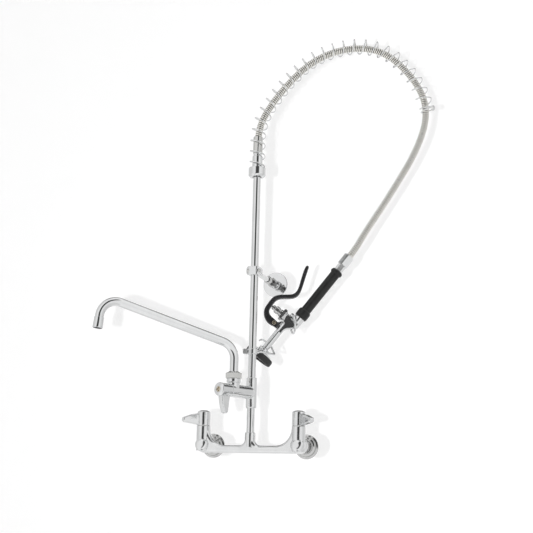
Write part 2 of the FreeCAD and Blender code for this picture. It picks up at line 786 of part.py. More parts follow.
def bracket_flange():
    wall_side = bracket_reach
    front = wall_side - bracket_flange_thickness
    disc = turned([(0, coupling_end + seat_gap), (bracket_hub_radius - 1.5, coupling_end + seat_gap, 0.8),
                   (bracket_hub_radius, front, 2.0), (bracket_flange_radius, front, 1.2),
                   (bracket_flange_radius, wall_side), (0, wall_side)], bracket_at, into_wall)
    return disc.cut(rod(arm_radius + seat_gap, 0, front, bracket_at, into_wall))


# Riser top
collar_foot = riser_top - collar_below_top


def spring_collar():
    top = collar_foot + collar_height
    body = turned([(0, collar_foot), (collar_radius - collar_chamfer, collar_foot, 1.0),
                   (collar_radius, collar_foot + collar_chamfer, 2.5), (collar_radius, top, 0.6),
                   (0, top)], riser_at)
    return body.cut([rod(pipe_radius + 2.6, collar_foot - 1, collar_foot + 2.0, riser_at),
                     rod(pipe_radius + seat_gap, collar_foot - 1, top, riser_at),
                     rod(collar_cup_radius, top - collar_cup_depth, top + 1, riser_at)])


fitting_foot = collar_foot + collar_height - collar_cup_depth


def top_fitting():
    # Screwed on the riser, seated on the collar's floor, with the hose neck above.
    top = riser_top + fitting_top
    body = turned([(0, fitting_foot), (fitting_radius, fitting_foot), (fitting_radius, top, 1.0),
                   (fitting_neck_radius, top, 0.5), (fitting_neck_radius, top + fitting_neck_length, 0.6),
                   (0, top + fitting_neck_length)], riser_at)
    return body.cut([rod(pipe_radius + seat_gap, fitting_foot - 1, riser_top + seat_gap, riser_at),
                     rod(tee_water_radius, riser_top, top + fitting_neck_length + 1, riser_at)])


hose_nut_foot = riser_top + fitting_top + hose_nut_gap
hose_exit = hose_nut_foot + hose_nut_length


def hose_nut():
    body = hexagon(hose_nut_flats, hose_nut_foot, hose_exit, 1.6, riser_at, up, park_turn)
    neck_top = riser_top + fitting_top + fitting_neck_length
    return body.cut([rod(fitting_neck_radius + running_gap, hose_nut_foot - 1, neck_top + 1.0, riser_at),
                     rod(hose_radius + seat_gap, neck_top + 1.0, hose_exit + 1, riser_at)])


# Spray valve frame: x along the handle, y toward the lever, z behind
handle_dir = Vector(-cosd(handle_tilt), 0, -sind(handle_tilt))
lever_dir = Vector(-sind(handle_tilt), 0, cosd(handle_tilt))


# Overhead assembly, built in the parking frame: along, behind, up, from the riser axis
park_place = Placement(riser_at, Rotation(up, park_turn))


def above_nut(a, d, z):
    return Vector(a, d, hose_exit + z)


def hose_corners():
    end = above_nut(*hose_end)
    middle = [above_nut(*point) for point in hose_points]
    return [above_nut(0, 0, -hose_in_nut)] + middle + [end - handle_dir * hose_end_run, end]


def hose_radii(corners):
    radii = []
    for before, corner, after in zip(corners, corners[1:], corners[2:]):
        turn = (corner - before).getAngle(after - corner)
        shorter = min(before.distanceToPoint(corner), corner.distanceToPoint(after))
        radii.append(arc_share * shorter / math.tan(turn / 2))
    return radii


def hose():
    corners = hose_corners()
    radii = hose_radii(corners)
    path = bent_path(corners, radii)
    tube = placed(swept_tube(path, hose_radius), park_place)
    section = math.pi * hose_radius ** 2
    print("hose radii", " ".join("%.0f" % r for r in radii))
    print("hose length %.1f, volume over section x length %.4f"
          % (path.Length, tube.Volume / (section * path.Length)))
    return tube


def spring_spine():
    # Centreline of the spring, from the cup floor over the bend.
    floor = fitting_foot + spring_wire + seat_gap
    lean = heading(spring_plane_turn)
    points = [Vector(0, 0, floor)]
    points += [lean * a + up * (hose_exit + z) for a, z in spine_points]
    return bent_path(points, hose_radii(points))


def coil_corners(spine, radius, turns, closed_pitch, tail_turns, start_turn, plane_normal):
    # Four corners a turn; the wire touches each side of that square at its middle.
    # The first turn and the tail are wound at the closed pitch, the rest evenly.
    open_turns = turns - 1 - tail_turns
    open_pitch = (spine.Length - closed_pitch * (1 + tail_turns)) / open_turns
    corners = []
    for i in range(round(turns * 4) + 1):
        turn = i / 4
        open_part = max(0, min(turn - 1, open_turns))
        station = open_pitch * open_part + closed_pitch * (turn - open_part)
        at = spine_point(spine, station)
        ahead = (spine_point(spine, station + 0.5) - spine_point(spine, station - 0.5)).normalize()
        outward = ahead.cross(plane_normal).normalize()
        behind = outward.cross(ahead)
        angle = start_turn + 360 * turn
        reach = radius * math.sqrt(2)
        corners.append(at + (outward * cosd(angle) + behind * sind(angle)) * reach)
    return corners


def spine_point(spine, station):
    # Point at a distance along the wire, run straight on past its ends.
    station_left = station
    for edge in spine.OrderedEdges:
        if station_left <= edge.Length or edge.isSame(spine.OrderedEdges[-1]):
            break
        station_left -= edge.Length
    along = edge.getParameterByLength(max(0, min(station_left, edge.Length)))
    beyond = station_left - max(0, min(station_left, edge.Length))
    return edge.valueAt(along) + edge.tangentAt(along) * beyond


def coil(corners, wire_radius):
    # Round wire whose arcs meet at the middles of the corner-to-corner lines.
    edges = []
    middles = [(a + b) / 2 for a, b in zip(corners, corners[1:])]
    for corner, before, after in zip(corners[1:], middles, middles[1:]):
        cut = min(corner.distanceToPoint(before), corner.distanceToPoint(after))
        turn = (corner - before).getAngle(after - corner)
        begin, middle, end = corner_arc(before, corner, after, cut / math.tan(turn / 2))
        begin = snapped(begin, before)
        end = snapped(end, after)
        edges += straight(before, begin) + [Part.Arc(begin, middle, end).toShape()] + straight(end, after)
    return swept_tube(Part.Wire(edges), wire_radius)


def spring():
    spine = spring_spine()
    plane_normal = heading(spring_plane_turn + 90)
    corners = coil_corners(spine, spring_radius, spring_turns, spring_closed_pitch,
                           spring_tail_turns, spring_start_turn, plane_normal)
    return placed(coil(corners, spring_wire), park_place)


def valve_placement():
    end = hose_corners()[-1]
    matrix = Matrix(handle_dir.x, lever_dir.x, 0, end.x, handle_dir.y, lever_dir.y, 1, end.y,
                    handle_dir.z, lever_dir.z, 0, end.z, 0, 0, 0, 1)
    return park_place.multiply(Placement(matrix))


valve_frame = valve_placement()
along_handle = Vector(1, 0, 0)
toward_lever = Vector(0, 1, 0)
grip_start = ferrule_length + adapter_length
grip_end = grip_start + grip_ring_length + grip_length
body_start = grip_end + grip_collar_length
bonnet_x = body_start + bonnet_station
pivot_x = body_start + pivot_station
neck_x = body_start + neck_station
head_x = neck_x + neck_length
lever_inner_rise = pivot_rise + lever_bow_rise


def in_valve(shape):
    return placed(shape, valve_frame)


def ferrule_nut():
    nut = hexagon(ferrule_flats, 0, ferrule_length, 1.8, Vector(), along_handle, 10)
    return nut.cut(rod(5.0, 2.0, ferrule_length + 1, Vector(), along_handle))


def grip_adapter():
    body = hexagon(adapter_flats, ferrule_length, grip_start + 2.0, 1.0, Vector(), along_handle, 25)
    return body.cut(rod(5.0, ferrule_length - 1, grip_start + 3.0, Vector(), along_handle))


def handle_tube():
    high = body_start + handle_tube_overlap
    tube = rod(handle_tube_radius, grip_start + 2.0, high, Vector(), along_handle)
    return tube.cut(rod(handle_tube_bore, grip_start, high + 1, Vector(), along_handle))


def grip():
    ring_end = grip_start + grip_ring_length
    body = turned([(0, grip_start), (grip_ring_radius - 2.0, grip_start, 1.0),
                   (grip_ring_radius, grip_start + 3.0, 2.0), (grip_ring_radius, ring_end - 1.0, 1.6),
                   (grip_radius, ring_end + 2.0, 2.0), (grip_radius, grip_end), (0, grip_end)],
                  Vector(), along_handle)
    return body.cut([rod(handle_tube_radius + seat_gap, grip_start, grip_end + 1, Vector(), along_handle),
                     rod(adapter_flats / 2 / cosd(30) + seat_gap, grip_start - 1, grip_start + 2.0,
                         Vector(), along_handle)])


def grip_collar():
    body = turned([(0, grip_end), (grip_collar_radius - 1.6, grip_end, 1.2),
                   (grip_collar_radius, grip_end + 3.0, 1.5), (grip_collar_radius, body_start - 2.5, 1.2),
                   (grip_collar_radius - 2.0, body_start, 0.8), (0, body_start)], Vector(), along_handle)
    return body.cut(rod(handle_tube_radius + seat_gap, grip_end - 1, body_start + 1, Vector(), along_handle))


def valve_body():
    s = body_start
    seat = bonnet_seat
    low = neck_rise - neck_radius
    corners = [(s, 10.4), (s + 6.8, 12.0), (s + 10.2, 20.0, 3.0), (s + 10.2, 25.0), (s + 28.0, 25.0),
               (s + 31.0, web_top, 3.0), (neck_x + 1.0, web_top, 2.0), (neck_x + 2.0, low, 2.0),
               (s + 40.0, low, 14.0), (s + 21.5, -10.4, 5.0), (s, -10.4)]
    web = plate(corners, -body_half_thickness, body_half_thickness)
    rim = [e for e in web.Edges if e.BoundBox.ZLength < 0.01 and e.BoundBox.XMin > s + 0.5]
    web = web.makeFillet(body_round, rim)
    socket = turned([(0, s), (socket_radius, s, 0.6), (socket_radius, s + socket_length, 4.0),
                     (0, s + socket_length)], Vector(), along_handle)
    housing = turned([(0, chamber_floor - 3.0), (bonnet_housing_radius, chamber_floor - 3.0, 2.0),
                      (bonnet_housing_radius, seat - 4.5), (bonnet_flats / 2, seat - 1.5),
                      (bonnet_flats / 2, seat), (0, seat)], Vector(bonnet_x, 0, 0), toward_lever)
    top = pivot_rise + lug_radius
    lug = plate([(s + 29.0, 15.0), (pivot_x + lug_radius, 15.0),
                 (pivot_x + lug_radius, top, lug_radius - 0.05),
                 (pivot_x - lug_radius, top, lug_radius - 0.05), (pivot_x - lug_radius, 31.0, 3.0),
                 (s + 29.0, 25.0)], -lug_half_thickness, lug_half_thickness)
    neck = rod(neck_radius, s + 32.0, head_x, Vector(0, neck_rise, 0), along_handle)
    shape = web.fuse([socket, housing, lug, neck]).removeSplitter()
    bonnet_at = Vector(bonnet_x, 0, 0)
    disc_top = plunger_disc_low + plunger_disc_height
    return shape.cut([
        rod(handle_tube_radius + seat_gap, s - 1, s + handle_tube_overlap, Vector(), along_handle),
        rod(chamber_radius, chamber_floor, disc_top + seat_gap, bonnet_at, toward_lever),
        rod(plunger_disc_radius - 1.2, chamber_floor, seat, bonnet_at, toward_lever),
        rod(bonnet_thread_radius + seat_gap, seat - bonnet_thread_length, seat + 1, bonnet_at, toward_lever),
        rod(water_radius, bonnet_x, head_x + 1, Vector(0, neck_rise, 0), along_handle),
        rod(water_radius, s, bonnet_x, Vector(), along_handle),
        rod(pivot_radius + seat_gap, -20, 20, Vector(pivot_x, pivot_rise, 0))])


def bonnet():
    # Screwed in the body; the plunger's head slides in its upper bore.
    seat = bonnet_seat
    top = seat + bonnet_nut_height
    high = seat + bonnet_height
    at = Vector(bonnet_x, 0, 0)
    nut = hexagon(bonnet_flats, seat, top, 1.6, at, toward_lever, 0)
    thread_foot = seat - bonnet_thread_length + seat_gap
    body = turned([(0, thread_foot), (bonnet_thread_radius, thread_foot), (bonnet_thread_radius, seat),
                   (bonnet_radius, seat), (bonnet_radius, top + 4.0),
                   (bonnet_radius - bonnet_groove, top + 5.0), (bonnet_radius - bonnet_groove, top + 7.0),
                   (bonnet_radius, top + 8.0), (bonnet_radius, high, 1.2), (0, high)],
                  at, toward_lever).fuse(nut)
    bore_floor = high - plunger_head_inside - plunger_travel - part_gap
    return body.cut([rod(plunger_radius + running_gap, thread_foot - 1, high, at, toward_lever),
                     rod(plunger_head_radius + running_gap, bore_floor, high + 1, at, toward_lever)])


def plunger():
    # The lever pushes its head; its disc opens the valve below.
    tip = lever_inner_rise - plunger_tip_gap
    head_low = bonnet_seat + bonnet_height - plunger_head_inside
    head_top = bonnet_seat + bonnet_height + plunger_head_show
    disc_top = plunger_disc_low + plunger_disc_height
    return turned([(0, plunger_disc_low), (plunger_disc_radius, plunger_disc_low, 0.8),
                   (plunger_disc_radius, disc_top, 0.8), (plunger_radius, disc_top),
                   (plunger_radius, head_low), (plunger_head_radius, head_low),
                   (plunger_head_radius, head_top, 1.0), (plunger_radius, head_top),
                   (plunger_radius, tip, 1.4), (0, tip)], Vector(bonnet_x, 0, 0), toward_lever)


def return_spring():
    # Coil in the chamber that lifts the plunger's disc.
    low = Vector(bonnet_x, chamber_floor + return_wire + seat_gap, 0)
    high = Vector(bonnet_x, plunger_disc_low - return_wire - seat_gap, 0)
    spine = Part.Wire(Part.LineSegment(low, high).toShape())
    corners = coil_corners(spine, plunger_disc_radius - return_wire, return_turns, return_closed_pitch,
                           1.0, 0, up)
    return coil(corners, return_wire)


def squeeze_lever():
    # Side outline: cheeks at the pivot, a bow over the plunger, a dip, then the finger end.
    x = pivot_x
    y = pivot_rise
    bow = lever_bow_rise
    corners = [(x + 4.8, y - 11.5, 2.0), (x + 8.0, y + 11.0, 12.0), (x - 7.0, y + 36.0, 22.0),
               (x - 46.0, y + 36.0, 14.0), (x - 79.0, y + 2.0, 14.0), (x - 99.0, y + 8.4, 30.0),
               (x - 136.0, y + 21.6, 6.0), (x - 141.6, y + 20.0, 1.2),
               (x - 140.0, y + 16.4, 1.5), (x - 99.0, y + 0.9, 22.0), (x - 74.5, y - 5.2, 18.0),
               (x - 42.0, y + bow, 10.0), (x - 9.2, y + bow, 8.0), (x - 5.6, y - 10.5, 2.0)]
    body = plate(corners, -lever_half_width, lever_half_width)
    rim = [e for e in body.Edges if e.BoundBox.ZLength < 0.01 and e.BoundBox.XMin < x - 8.0]
    body = body.makeFillet(lever_edge_round, rim)
    slot = Part.makeBox(40, 60, 2 * (lug_half_thickness + part_gap),
                        Vector(x - 14.0, y - 34.0, -lug_half_thickness - part_gap))
    bore = rod(pivot_radius + running_gap, -20, 20, Vector(x, y, 0))
    return body.cut([slot, bore])


def lever_screw():
    at = Vector(pivot_x, pivot_rise, 0)
    edge = lever_half_width + part_gap
    shank = rod(pivot_radius, -edge, edge, at)
    front = turned([(0, 0), (4.3, 0), (4.3, 2.0, 0.8), (0, 2.2)], at - up * edge, Vector(0, 0, -1))
    back = hexagon(7.0, edge, edge + 2.6, 0.6, at)
    slot = Part.makeBox(10, 1.2, 1.2, at + Vector(-5, -0.6, -edge - 2.6))
    return shank.fuse([front, back]).cut(slot)


def spray_head():
    at = Vector(0, neck_rise, 0)
    x = head_x
    face = x + head_length
    body = turned([(0, x), (neck_radius, x), (head_radius, x + 2.5, 2.0), (head_radius, x + 7.0, 3.0),
                   (head_flange_radius, x + 11.0, 1.2), (head_flange_radius, face, 0.6), (0, face)],
                  at, along_handle)
    return body.cut([rod(4.0, x - 1, face + 1, at, along_handle),
                     rod(head_flange_radius - 2.4, x + 13.5, face + 1, at, along_handle)])


def spray_plate():
    at = Vector(0, neck_rise, 0)
    face = head_x + head_length
    disc = rod(head_flange_radius - 2.4 - running_gap, face - 1.0 - spray_plate_thickness, face - 1.0,
               at, along_handle)
    holes = []
    for i in range(spray_hole_count):
        turn = 360 / spray_hole_count * i
        spot = at + Vector(0, spray_hole_circle * cosd(turn), spray_hole_circle * sind(turn))
        holes.append(rod(spray_hole_radius, face - 5, face + 5, spot, along_handle))
    return disc.cut(holes)


def bumper():
    at = Vector(0, neck_rise, 0)
    face = head_x + head_length
    inner = head_flange_radius + 0.05
    low = face - bumper_height + bumper_lip
    return turned([(inner, low), (bumper_radius, low, bumper_round),
                   (bumper_radius, face + bumper_lip, bumper_round),
                   (inner - 3.2, face + bumper_lip, 1.0), (inner - 3.2, face + 0.05), (inner, face + 0.05)],
                  at, along_handle)


def ring_centre():
    top = Vector(body_start + ring_station, ring_rise, 0)
    return top + Vector(cosd(ring_tilt), -sind(ring_tilt), 0) * ring_radius


def hold_down_ring():
    across = Vector(sind(ring_tilt), cosd(ring_tilt), 0) * cosd(ring_swing) - up * sind(ring_swing)
    return Part.makeTorus(ring_radius, ring_wire, ring_centre(), across)


# Finger hook
def neck_hang_point():
    spot = Vector(body_start + hook_neck_station, neck_rise, 0)
    return park_place.inverse().multVec(valve_frame.multVec(spot))


hang = neck_hang_point()
hook_z = hang.z - hook_below_neck
band_outer = pipe_radius + seat_gap + hook_band_wall
hook_half = hook_band_height / 2


def hook_clamp():
    # Band round the riser with two ears on its left.
    band = rod(band_outer, -hook_half, hook_half)
    ear_reach = band_outer + hook_ear_length
    ears = plate([(-ear_reach, -hook_ear_gap / 2 - hook_ear_thickness),
                  (0, -hook_ear_gap / 2 - hook_ear_thickness), (0, hook_ear_gap / 2 + hook_ear_thickness),
                  (-ear_reach, hook_ear_gap / 2 + hook_ear_thickness)], -hook_half, hook_half)
    profile = loop_face([(-ear_reach, -hook_half, 3.0), (0, -hook_half), (0, hook_half),
                         (-ear_reach, hook_half, 3.0)], lambda x, z: Vector(x, -10, z))
    ears = ears.common(profile.extrude(Vector(0, 20, 0)))
    boss = rod(3.6, band_outer - 1.5, band_outer + 3.0, Vector(), Vector(1, 0, 0))
    gap = Part.makeBox(ear_reach + 1, hook_ear_gap, hook_band_height + 2,
                       Vector(-ear_reach - 1, -hook_ear_gap / 2, -hook_half - 1))
    shape = band.fuse([ears, boss]).cut([rod(pipe_radius + seat_gap, -20, 20), gap])
    hole = rod(hook_bolt_radius + seat_gap, -20, 20, Vector(hook_bolt_x(), 0, 0), Vector(0, 1, 0))
    socket = rod(hook_wire_radius + 0.02, band_outer + 0.5, band_outer + 9, Vector(), Vector(1, 0, 0))
    shape = shape.cut([hole, socket])
    shape.translate(Vector(0, 0, hook_z))
    return placed(shape, park_place)


def hook_bolt_x():
    return -band_outer - hook_ear_length * 0.5


def hook_wire():
    root = Vector(band_outer + 0.5, 0, hook_z)
    points = [root, root + Vector(6.0, 0, 0)] + [hang + Vector(*p) for p in hook_points]
    path = bent_path(points, [hook_bend] * (len(points) - 2))
    return placed(swept_tube(path, hook_wire_radius), park_place)


def hook_fastener(is_nut):
    at = Vector(hook_bolt_x(), 0, hook_z)
    side = hook_ear_gap / 2 + hook_ear_thickness
    back = Vector(0, 1, 0)
    if is_nut:
        nut = hexagon(hook_bolt_flats, side, side + 3.4, 0.6, at, back, 30)
        shape = nut.cut(rod(hook_bolt_radius + 0.02, 0, 20, at, back))
    else:
        head = hexagon(hook_bolt_flats, -side - 3.2, -side, 0.6, at, back, 30)
        shape = head.fuse(rod(hook_bolt_radius, -side, side + 5.0, at, back))
    return placed(shape, park_place)


def build():
    os.makedirs("parts", exist_ok=True)
    save("base_body", base_body())
    save("union_nuts", union_nuts())
    for name, side in (("left", -1), ("right", 1)):
        save("inlet_shank_" + name, inlet_shank(side))
        save("wall_flange_" + name, wall_flange(side))
    for name, place in valve_places.items():
        save("cartridge_" + name, placed(cartridge(), place))
        save("stem_" + name, placed(stem(), place))
        save("handle_" + name, placed(lever_handle(), place))
        save("handle_screw_" + name, placed(handle_screw(), place))
    save("lock_nuts", Part.makeCompound([placed(lock_nut(), p) for p in valve_places.values()]))
    save("base_nipple", pipe(boss_top - boss_bore_depth, tee_foot + thread_depth))
    save("riser_pipe", pipe(riser_foot, riser_top))
    save("addon_body", addon_body())
    save("nozzle_nut", nozzle_nut())
    save("nozzle_sleeve", nozzle_sleeve())
    save("nozzle_seals", nozzle_seals())
    save("nozzle_tube", nozzle_tube())
    save("nozzle_tip", nozzle_tip())
    save("flow_insert", flow_insert())
    save("bracket_front_clamp", bracket_half(True))
    save("bracket_rear_clamp", bracket_half(False))
    save("bracket_screws", bracket_screws())
    save("bracket_arm", bracket_arm())
    save("bracket_coupling", bracket_coupling())
    save("bracket_set_screw", bracket_set_screw())
    save("bracket_flange", bracket_flange())
    save("hook_clamp", hook_clamp())
    save("hook_wire", hook_wire())
    save("hook_bolt", hook_fastener(False))
    save("hook_nut", hook_fastener(True))
    save("spring_collar", spring_collar())
    save("top_fitting", top_fitting())
    save("hose_nut", hose_nut())
    save("overhead_spring", spring())
    save("hose", hose())
    save("ferrule_nut", in_valve(ferrule_nut()))
    save("grip_adapter", in_valve(grip_adapter()))
    save("handle_tube", in_valve(handle_tube()))
    save("grip", in_valve(grip()))
    save("grip_collar", in_valve(grip_collar()))
    save("valve_body", in_valve(valve_body()))
    save("bonnet", in_valve(bonnet()))
    save("plunger", in_valve(plunger()))
    save("return_spring", in_valve(return_spring()))
    save("squeeze_lever", in_valve(squeeze_lever()))
    save("lever_screw", in_valve(lever_screw()))
    save("spray_head", in_valve(spray_head()))
    save("spray_plate", in_valve(spray_plate()))
    save("bumper", in_valve(bumper()))
    save("hold_down_ring", in_valve(hold_down_ring()))


build()
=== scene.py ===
# Wall-mounted pre-rinse faucet: chrome fittings, ribbed steel hose, black grip and squeeze lever
import bmesh
import bpy
import json
import math
from mathutils import Matrix, Vector


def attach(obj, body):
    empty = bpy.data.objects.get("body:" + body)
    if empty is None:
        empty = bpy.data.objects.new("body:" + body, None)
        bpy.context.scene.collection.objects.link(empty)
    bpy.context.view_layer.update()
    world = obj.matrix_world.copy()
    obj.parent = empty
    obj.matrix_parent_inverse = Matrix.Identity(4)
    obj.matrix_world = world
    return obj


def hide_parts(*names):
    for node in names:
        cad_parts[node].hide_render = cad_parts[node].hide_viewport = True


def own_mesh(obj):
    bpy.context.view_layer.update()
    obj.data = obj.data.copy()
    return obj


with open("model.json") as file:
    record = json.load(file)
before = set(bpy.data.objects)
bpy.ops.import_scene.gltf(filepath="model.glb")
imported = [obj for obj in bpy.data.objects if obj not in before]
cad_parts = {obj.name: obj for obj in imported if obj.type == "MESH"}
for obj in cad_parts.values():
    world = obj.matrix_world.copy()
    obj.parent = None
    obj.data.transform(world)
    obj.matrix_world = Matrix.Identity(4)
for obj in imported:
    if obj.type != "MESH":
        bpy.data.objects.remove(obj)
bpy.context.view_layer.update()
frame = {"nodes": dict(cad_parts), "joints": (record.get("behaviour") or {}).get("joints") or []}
cadNodes = frame["nodes"]


def linked(name, data):
    obj = bpy.data.objects.new(name, data)
    bpy.context.collection.objects.link(obj)
    return obj


# Camera: the photograph's own viewpoint, a little right of straight on and looking up
photoView = {
    "turn": 17.708,                       # degrees to the right
    "pitch": 11.988,                      # degrees up
    "roll": 1.379,
    "distance": 2.1368,
    "aim": (0.02581, -0.063, 0.36832),
    "lens": 69.05,                        # on a 36 mm sensor
}


def sightLines(view):
    turn, pitch, roll = (math.radians(view[k]) for k in ("turn", "pitch", "roll"))
    ahead = Vector((-math.sin(turn) * math.cos(pitch), math.cos(turn) * math.cos(pitch),
                    math.sin(pitch)))
    level = Vector((math.cos(turn), math.sin(turn), 0))
    upright = level.cross(ahead)
    right = level * math.cos(roll) + upright * math.sin(roll)
    up = upright * math.cos(roll) - level * math.sin(roll)
    return right, up, ahead


viewRight, viewUp, viewAhead = sightLines(photoView)
eyePoint = Vector(photoView["aim"]) - viewAhead * photoView["distance"]


def addCamera(view):
    data = bpy.data.cameras.new("photoCamera")
    data.lens = view["lens"]
    data.sensor_width = 36
    camera = linked("photoCamera", data)
    turnTo = Matrix((viewRight, viewUp, -viewAhead)).transposed().to_4x4()
    camera.matrix_world = Matrix.Translation(eyePoint) @ turnTo
    bpy.context.scene.camera = camera


addCamera(photoView)
print("camera set")

# Hose: the route's points run along the parking plane, behind it, and above the hose nut
hose = {
    "foot": (0, -0.0635, 0.6540),         # top of the hose nut
    "planeTurn": 17.7,                    # degrees from +X toward the wall
    "route": [
        (0, 0, -0.0160), (0, 0, 0.0085), (0.0114, 0.0009, 0.0492), (0.0545, 0.0041, 0.1172),
        (0.1181, 0.0089, 0.1859), (0.1969, 0.0148, 0.2198), (0.2752, 0.0207, 0.2154),
        (0.3432, 0.0259, 0.1517), (0.3732, 0.0287, 0.0807), (0.3490, 0.0330, -0.0086),
        (0.2791, 0.0403, -0.1271), (0.2358, 0.0443, -0.1941), (0.2158, 0.0450, -0.2307),
        (0.2024, 0.0450, -0.2482),
    ],
    "length": 0.940,
    "diameter": 0.0150,
    "ribPitch": 0.0043,
    "ribDepth": 0.0011,
    "ribCrown": 0.0004,
    "grooveStart": 0.12,                  # of the wave that runs along the sleeve, -1 to 1
    "grooveFull": 0.80,
    "around": 24,
    "stepsPerRib": 12,
}


def hosePoints(h):
    turn = Matrix.Rotation(math.radians(h["planeTurn"]), 3, "Z")
    return [Vector(h["foot"]) + turn @ Vector(p) for p in h["route"]]


def nurbsLine(name, points):
    # The route as a smooth spline, read back as plain points
    curve = bpy.data.curves.new(name, "CURVE")
    curve.dimensions = "3D"
    curve.resolution_u = 24
    spline = curve.splines.new("NURBS")
    spline.points.add(len(points) - 1)
    for target, p in zip(spline.points, points):
        target.co = (*p, 1)
    spline.order_u = 3
    spline.use_endpoint_u = True
    obj = linked(name, curve)
    bpy.context.view_layer.update()
    mesh = bpy.data.meshes.new_from_object(obj)
    bpy.data.objects.remove(obj)
    return mesh


class Tree:
    # Short ways to add and join nodes in one node tree
    def __init__(self, tree):
        self.tree = tree

    def add(self, kind, settings=None, **inputs):
        node = self.tree.nodes.new(kind)
        for key, value in (settings or {}).items():
            setattr(node, key, value)
        for key, value in inputs.items():
            self.put(node, key, value)
        return node

    def put(self, node, key, value):
        if isinstance(key, int):
            socket = node.inputs[key]
        else:
            socket = next(s for s in node.inputs if s.enabled and s.name.replace(" ", "") == key)
        if isinstance(value, bpy.types.NodeSocket):
            self.tree.links.new(value, socket)
        else:
            socket.default_value = value

    def math(self, operation, *values, clamp=False):
        node = self.tree.nodes.new("ShaderNodeMath")
        node.operation = operation
        node.use_clamp = clamp
        for i, value in enumerate(values):
            self.put(node, i, value)
        return node.outputs[0]

    def vectorMath(self, operation, *values):
        node = self.tree.nodes.new("ShaderNodeVectorMath")
        node.operation = operation
        for i, value in enumerate(values):
            name = "Scale" if operation == "SCALE" and i == 1 else i
            self.put(node, name, value)
        return node.outputs[0]

    def between(self, value, low, high, toLow=0.0, toHigh=1.0, smooth=True):
        node = self.tree.nodes.new("ShaderNodeMapRange")
        node.interpolation_type = "SMOOTHSTEP" if smooth else "LINEAR"
        for i, v in enumerate((value, low, high, toLow, toHigh)):
            self.put(node, i, v)
        return node.outputs[0]


def sleeveTree():
    # Strip-wound sleeve: a tube along the line with one groove that winds round it
    group = bpy.data.node_groups.new("ribbedSleeve", "GeometryNodeTree")
    sockets = group.interface
    sockets.new_socket("Line", in_out="INPUT", socket_type="NodeSocketGeometry")
    for name in ("Radius", "Rib Pitch", "Rib Depth", "Rib Crown", "Groove Start", "Groove Full"):
        sockets.new_socket(name, in_out="INPUT", socket_type="NodeSocketFloat")
    for name in ("Around", "Steps per Rib"):
        sockets.new_socket(name, in_out="INPUT", socket_type="NodeSocketInt")
    sockets.new_socket("Material", in_out="INPUT", socket_type="NodeSocketMaterial")
    sockets.new_socket("Sleeve", in_out="OUTPUT", socket_type="NodeSocketGeometry")
    t = Tree(group)
    given = t.add("NodeGroupInput").outputs
    line = t.add("GeometryNodeMeshToCurve", Mesh=given["Line"]).outputs[0]
    step = t.math("DIVIDE", given["Rib Pitch"], given["Steps per Rib"])
    resampled = t.add("GeometryNodeResampleCurve", {"mode": "LENGTH"}, Curve=line, Length=step)
    along = t.add("GeometryNodeStoreNamedAttribute", {"data_type": "FLOAT", "domain": "POINT"},
                  Geometry=resampled.outputs[0], Name="along",
                  Value=t.add("GeometryNodeSplineParameter").outputs["Length"])
    ring = t.add("GeometryNodeCurvePrimitiveCircle", Resolution=given["Around"], Radius=given["Radius"])
    turnShare = t.add("GeometryNodeStoreNamedAttribute", {"data_type": "FLOAT", "domain": "POINT"},
                      Geometry=ring.outputs[0], Name="turnShare",
                      Value=t.add("GeometryNodeSplineParameter").outputs["Factor"])
    tube = t.add("GeometryNodeCurveToMesh", Curve=along.outputs[0], ProfileCurve=turnShare.outputs[0],
                 FillCaps=True)
    length = t.add("GeometryNodeInputNamedAttribute", {"data_type": "FLOAT"}, Name="along").outputs[0]
    share = t.add("GeometryNodeInputNamedAttribute", {"data_type": "FLOAT"}, Name="turnShare").outputs[0]
    turns = t.math("ADD", t.math("DIVIDE", length, given["Rib Pitch"]), share)
    wave = t.math("COSINE", t.math("MULTIPLY", turns, 2 * math.pi))
    groove = t.between(wave, given["Groove Start"], given["Groove Full"])
    crown = t.math("MULTIPLY", t.math("ADD", t.math("MULTIPLY", wave, 0.5), 0.5), given["Rib Crown"])
    depth = t.math("ADD", t.math("MULTIPLY", groove, given["Rib Depth"]), crown)
    inward = t.math("MULTIPLY", depth, -1.0)
    marked = t.add("GeometryNodeStoreNamedAttribute", {"data_type": "FLOAT", "domain": "POINT"},
                   Geometry=tube.outputs[0], Name="groove", Value=groove)
    offset = t.vectorMath("SCALE", t.add("GeometryNodeInputNormal").outputs[0], inward)
    moved = t.add("GeometryNodeSetPosition", Geometry=marked.outputs[0], Offset=offset)
    smooth = t.add("GeometryNodeSetShadeSmooth", Geometry=moved.outputs[0])
    real = t.add("GeometryNodeRealizeInstances", Geometry=smooth.outputs[0])
    painted = t.add("GeometryNodeSetMaterial", Geometry=real.outputs[0], Material=given["Material"])
    t.add("NodeGroupOutput", Sleeve=painted.outputs[0])
    return group


def grown(name, mesh, tree, values):
    # Runs a node tree on a mesh and keeps the result as a plain mesh object
    source = linked(name + "Source", mesh)
    modifier = source.modifiers.new("grow", "NODES")
    modifier.node_group = tree
    for item in tree.interface.items_tree:
        if item.item_type == "SOCKET" and item.in_out == "INPUT" and item.name in values:
            modifier[item.identifier] = values[item.name]
    bpy.context.view_layer.update()
    ready = source.evaluated_get(bpy.context.evaluated_depsgraph_get())
    made = bpy.data.meshes.new_from_object(ready)
    source.modifiers.remove(modifier)
    bpy.data.objects.remove(source)
    made.name = name
    return linked(name, made)


# Finishes. Each group gives masks or heights; the shaders stay in the materials.
def shaderGroup(name, inputs, outputs):
    group = bpy.data.node_groups.new(name, "ShaderNodeTree")
    for label, value in inputs:
        kind = "NodeSocketVector" if isinstance(value, tuple) else "NodeSocketFloat"
        socket = group.interface.new_socket(label, in_out="INPUT", socket_type=kind)
        socket.default_value = value
    for label in outputs:
        group.interface.new_socket(label, in_out="OUTPUT", socket_type="NodeSocketFloat")
    return group


